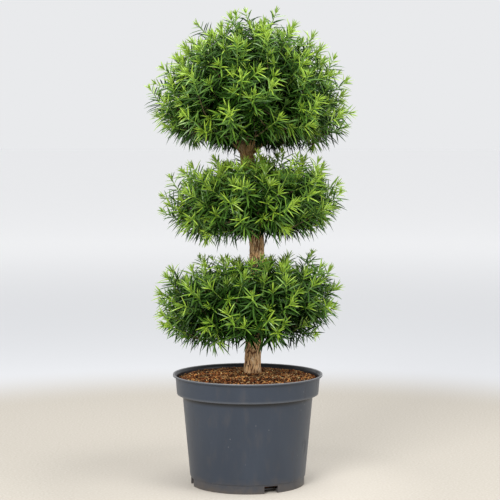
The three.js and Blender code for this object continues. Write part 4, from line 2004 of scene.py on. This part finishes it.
    def twigs(self, forks: Array, starts: Array, tips: Array) -> Surface:
        """Join each shoot to the nearest fork of the inner branches.

        Args:
            forks: Where twigs may leave the branches.
            starts: Where the shoots start.
            tips: Where they end.

        Returns:
            One surface with all the twigs.
        """
        parent = forks[nearest(starts, forks)]
        away = np.linalg.norm(starts - parent, axis=1, keepdims=True)
        middles = starts - unit(tips - starts) * self.twig_lean * away
        lines = bends(parent, middles, starts, self.twig_stations)
        return tubes(self.placed(lines), tapered(self.twig_radii, lines), self.twig_sides)

    def stems(self, starts: Array, tips: Array) -> tuple[Surface, Surface]:
        """Make the shoots' stems.

        Args:
            starts: Where the shoots start.
            tips: Where they end.

        Returns:
            The brown lower halves and the green upper halves.
        """
        turn = starts + (tips - starts) * 0.5
        brown = bends(starts, (starts + turn) / 2.0, turn, self.stem_stations)
        green = bends(turn, (turn + tips) / 2.0, tips, self.stem_stations)
        return (tubes(self.placed(brown), tapered(self.brown_radii, brown), self.twig_sides),
                tubes(self.placed(green), tapered(self.green_radii, green), self.twig_sides))

    def needles(self, trunk: Limb, layer: ShootLayer, starts: Array, tips: Array, rng: Chance) -> Needles:
        """Set needles spirally round each shoot, with a tuft at its tip.

        Args:
            trunk: The trunk that needles keep clear of.
            layer: Which kind of shoots.
            starts: Where the shoots start.
            tips: Where they end.
            rng: The seeded source of chance.

        Returns:
            The needles that have room.
        """
        rule = self.rule
        stand = rule.stand(unit(tips - starts), layer.needles, rng)
        heading = rule.headings(stand, rng)
        full = rule.lengths(stand, rng)
        base = starts[:, None] + (tips - starts)[:, None] * stand.along[..., None]
        room = self.form.reach(base, heading) + drawn(rng, rule.overshoot, full.shape)
        bow = rule.bows(stand, rng)
        fresh = self.ageing.freshness(stand, -base[..., 2] / self.form.drop, rng)
        fresh += layer.freshness + self.youth
        face = stand.axis + UP * rule.face_up
        turned = [rows.reshape(-1, 3) @ self.axes() for rows in (heading, face, bow)]
        length = np.minimum(full, room).ravel()
        rows = Needles(self.placed(base.reshape(-1, 3)), *turned, length, fresh.ravel())
        clear = self.clear_of(trunk, rows.middle(1.0)) & self.clear_of(trunk, rows.middle(0.5))
        return rows.keep(clear & (rows.length > rule.shortest))

    def clear_of(self, trunk: Limb, points: Array) -> Array:
        """Tell which points are clear of the trunk."""
        away = np.linalg.norm(points - trunk.route.at_height(points[:, 2]), axis=1)
        return away > trunk.foot_radius + self.rule.trunk_margin

    def lay_needles(self, needles: Needles, finishes: PlantFinishes) -> None:
        """Deal the needles out by age and make a piece of each age.

        Args:
            needles: All needles of the pompon.
            finishes: The plant's finishes.
        """
        ages = np.digitize(needles.freshness, AGE_STEPS)
        for number, age in enumerate(Age):
            name = f"needles_{self.name}_{age.value.label}"
            blades = needles.keep(ages == number).surface(self.rule)
            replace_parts(blades.piece(name, Slot.NEEDLES, finishes.needles[age]), f"pompon_{self.name}")


TRUNK_STOPS = np.array([
    (8.0, 12.0, 189.0), (9.0, 11.5, 224.0), (13.5, 10.0, 320.0), (15.7, 9.0, 414.0),
    (9.0, 8.5, 500.0), (-1.0, 8.0, 566.0), (-3.0, 8.0, 588.0),
])

POMPONS = (
    Pompon("lower", (0.0, 8.0, 318.0), -3.5, 0.0, Form(164.0, 76.0, 80.0, 3.6, 2.3),
           62.0, 26.0, 8.0, 70, 11, Boughs(5, 20.0, 268.0, 5.0, 3.8, 0.55), youth=-0.1),
    Pompon("middle", (12.0, 8.0, 488.0), -3.0, 0.0, Form(155.0, 81.0, 68.0, 3.0, 2.3),
           56.0, 26.0, 8.0, 64, 23, Boughs(5, 56.0, 446.0, 4.8, 3.6, 0.55), youth=0.1),
    Pompon("top", (6.0, 8.0, 652.0), 2.0, -4.0, Form(173.0, 165.0, 72.0, 1.85, 2.9),
           78.0, 34.0, 26.0, 104, 37, Boughs(4, 16.0, 570.0, 6.2, 4.8, 0.5, 580.0, 7.5), youth=0.02,
           mouth_margin=20.0, mouth_shoots=44, mouth_stations=(0.56, 0.98), collar_shoots=0),
)


def main() -> None:
    """Build the studio, the pot, the compost and the plant, in that order."""
    logging.basicConfig(level=logging.INFO, format="%(name)s %(message)s")
    effects = Effects()
    Studio().build(effects)
    Pot().build(effects)
    Compost().build(effects)
    finishes = PlantFinishes(effects)
    trunk = Limb("trunk_bark", Route.through(TRUNK_STOPS), 13.5, 11.3, BarkRelief(), flare=1.5)
    trunk.build(finishes.bark, "trunk")
    for pompon in POMPONS:
        pompon.build(trunk, finishes)


if __name__ == "__main__":
    main()
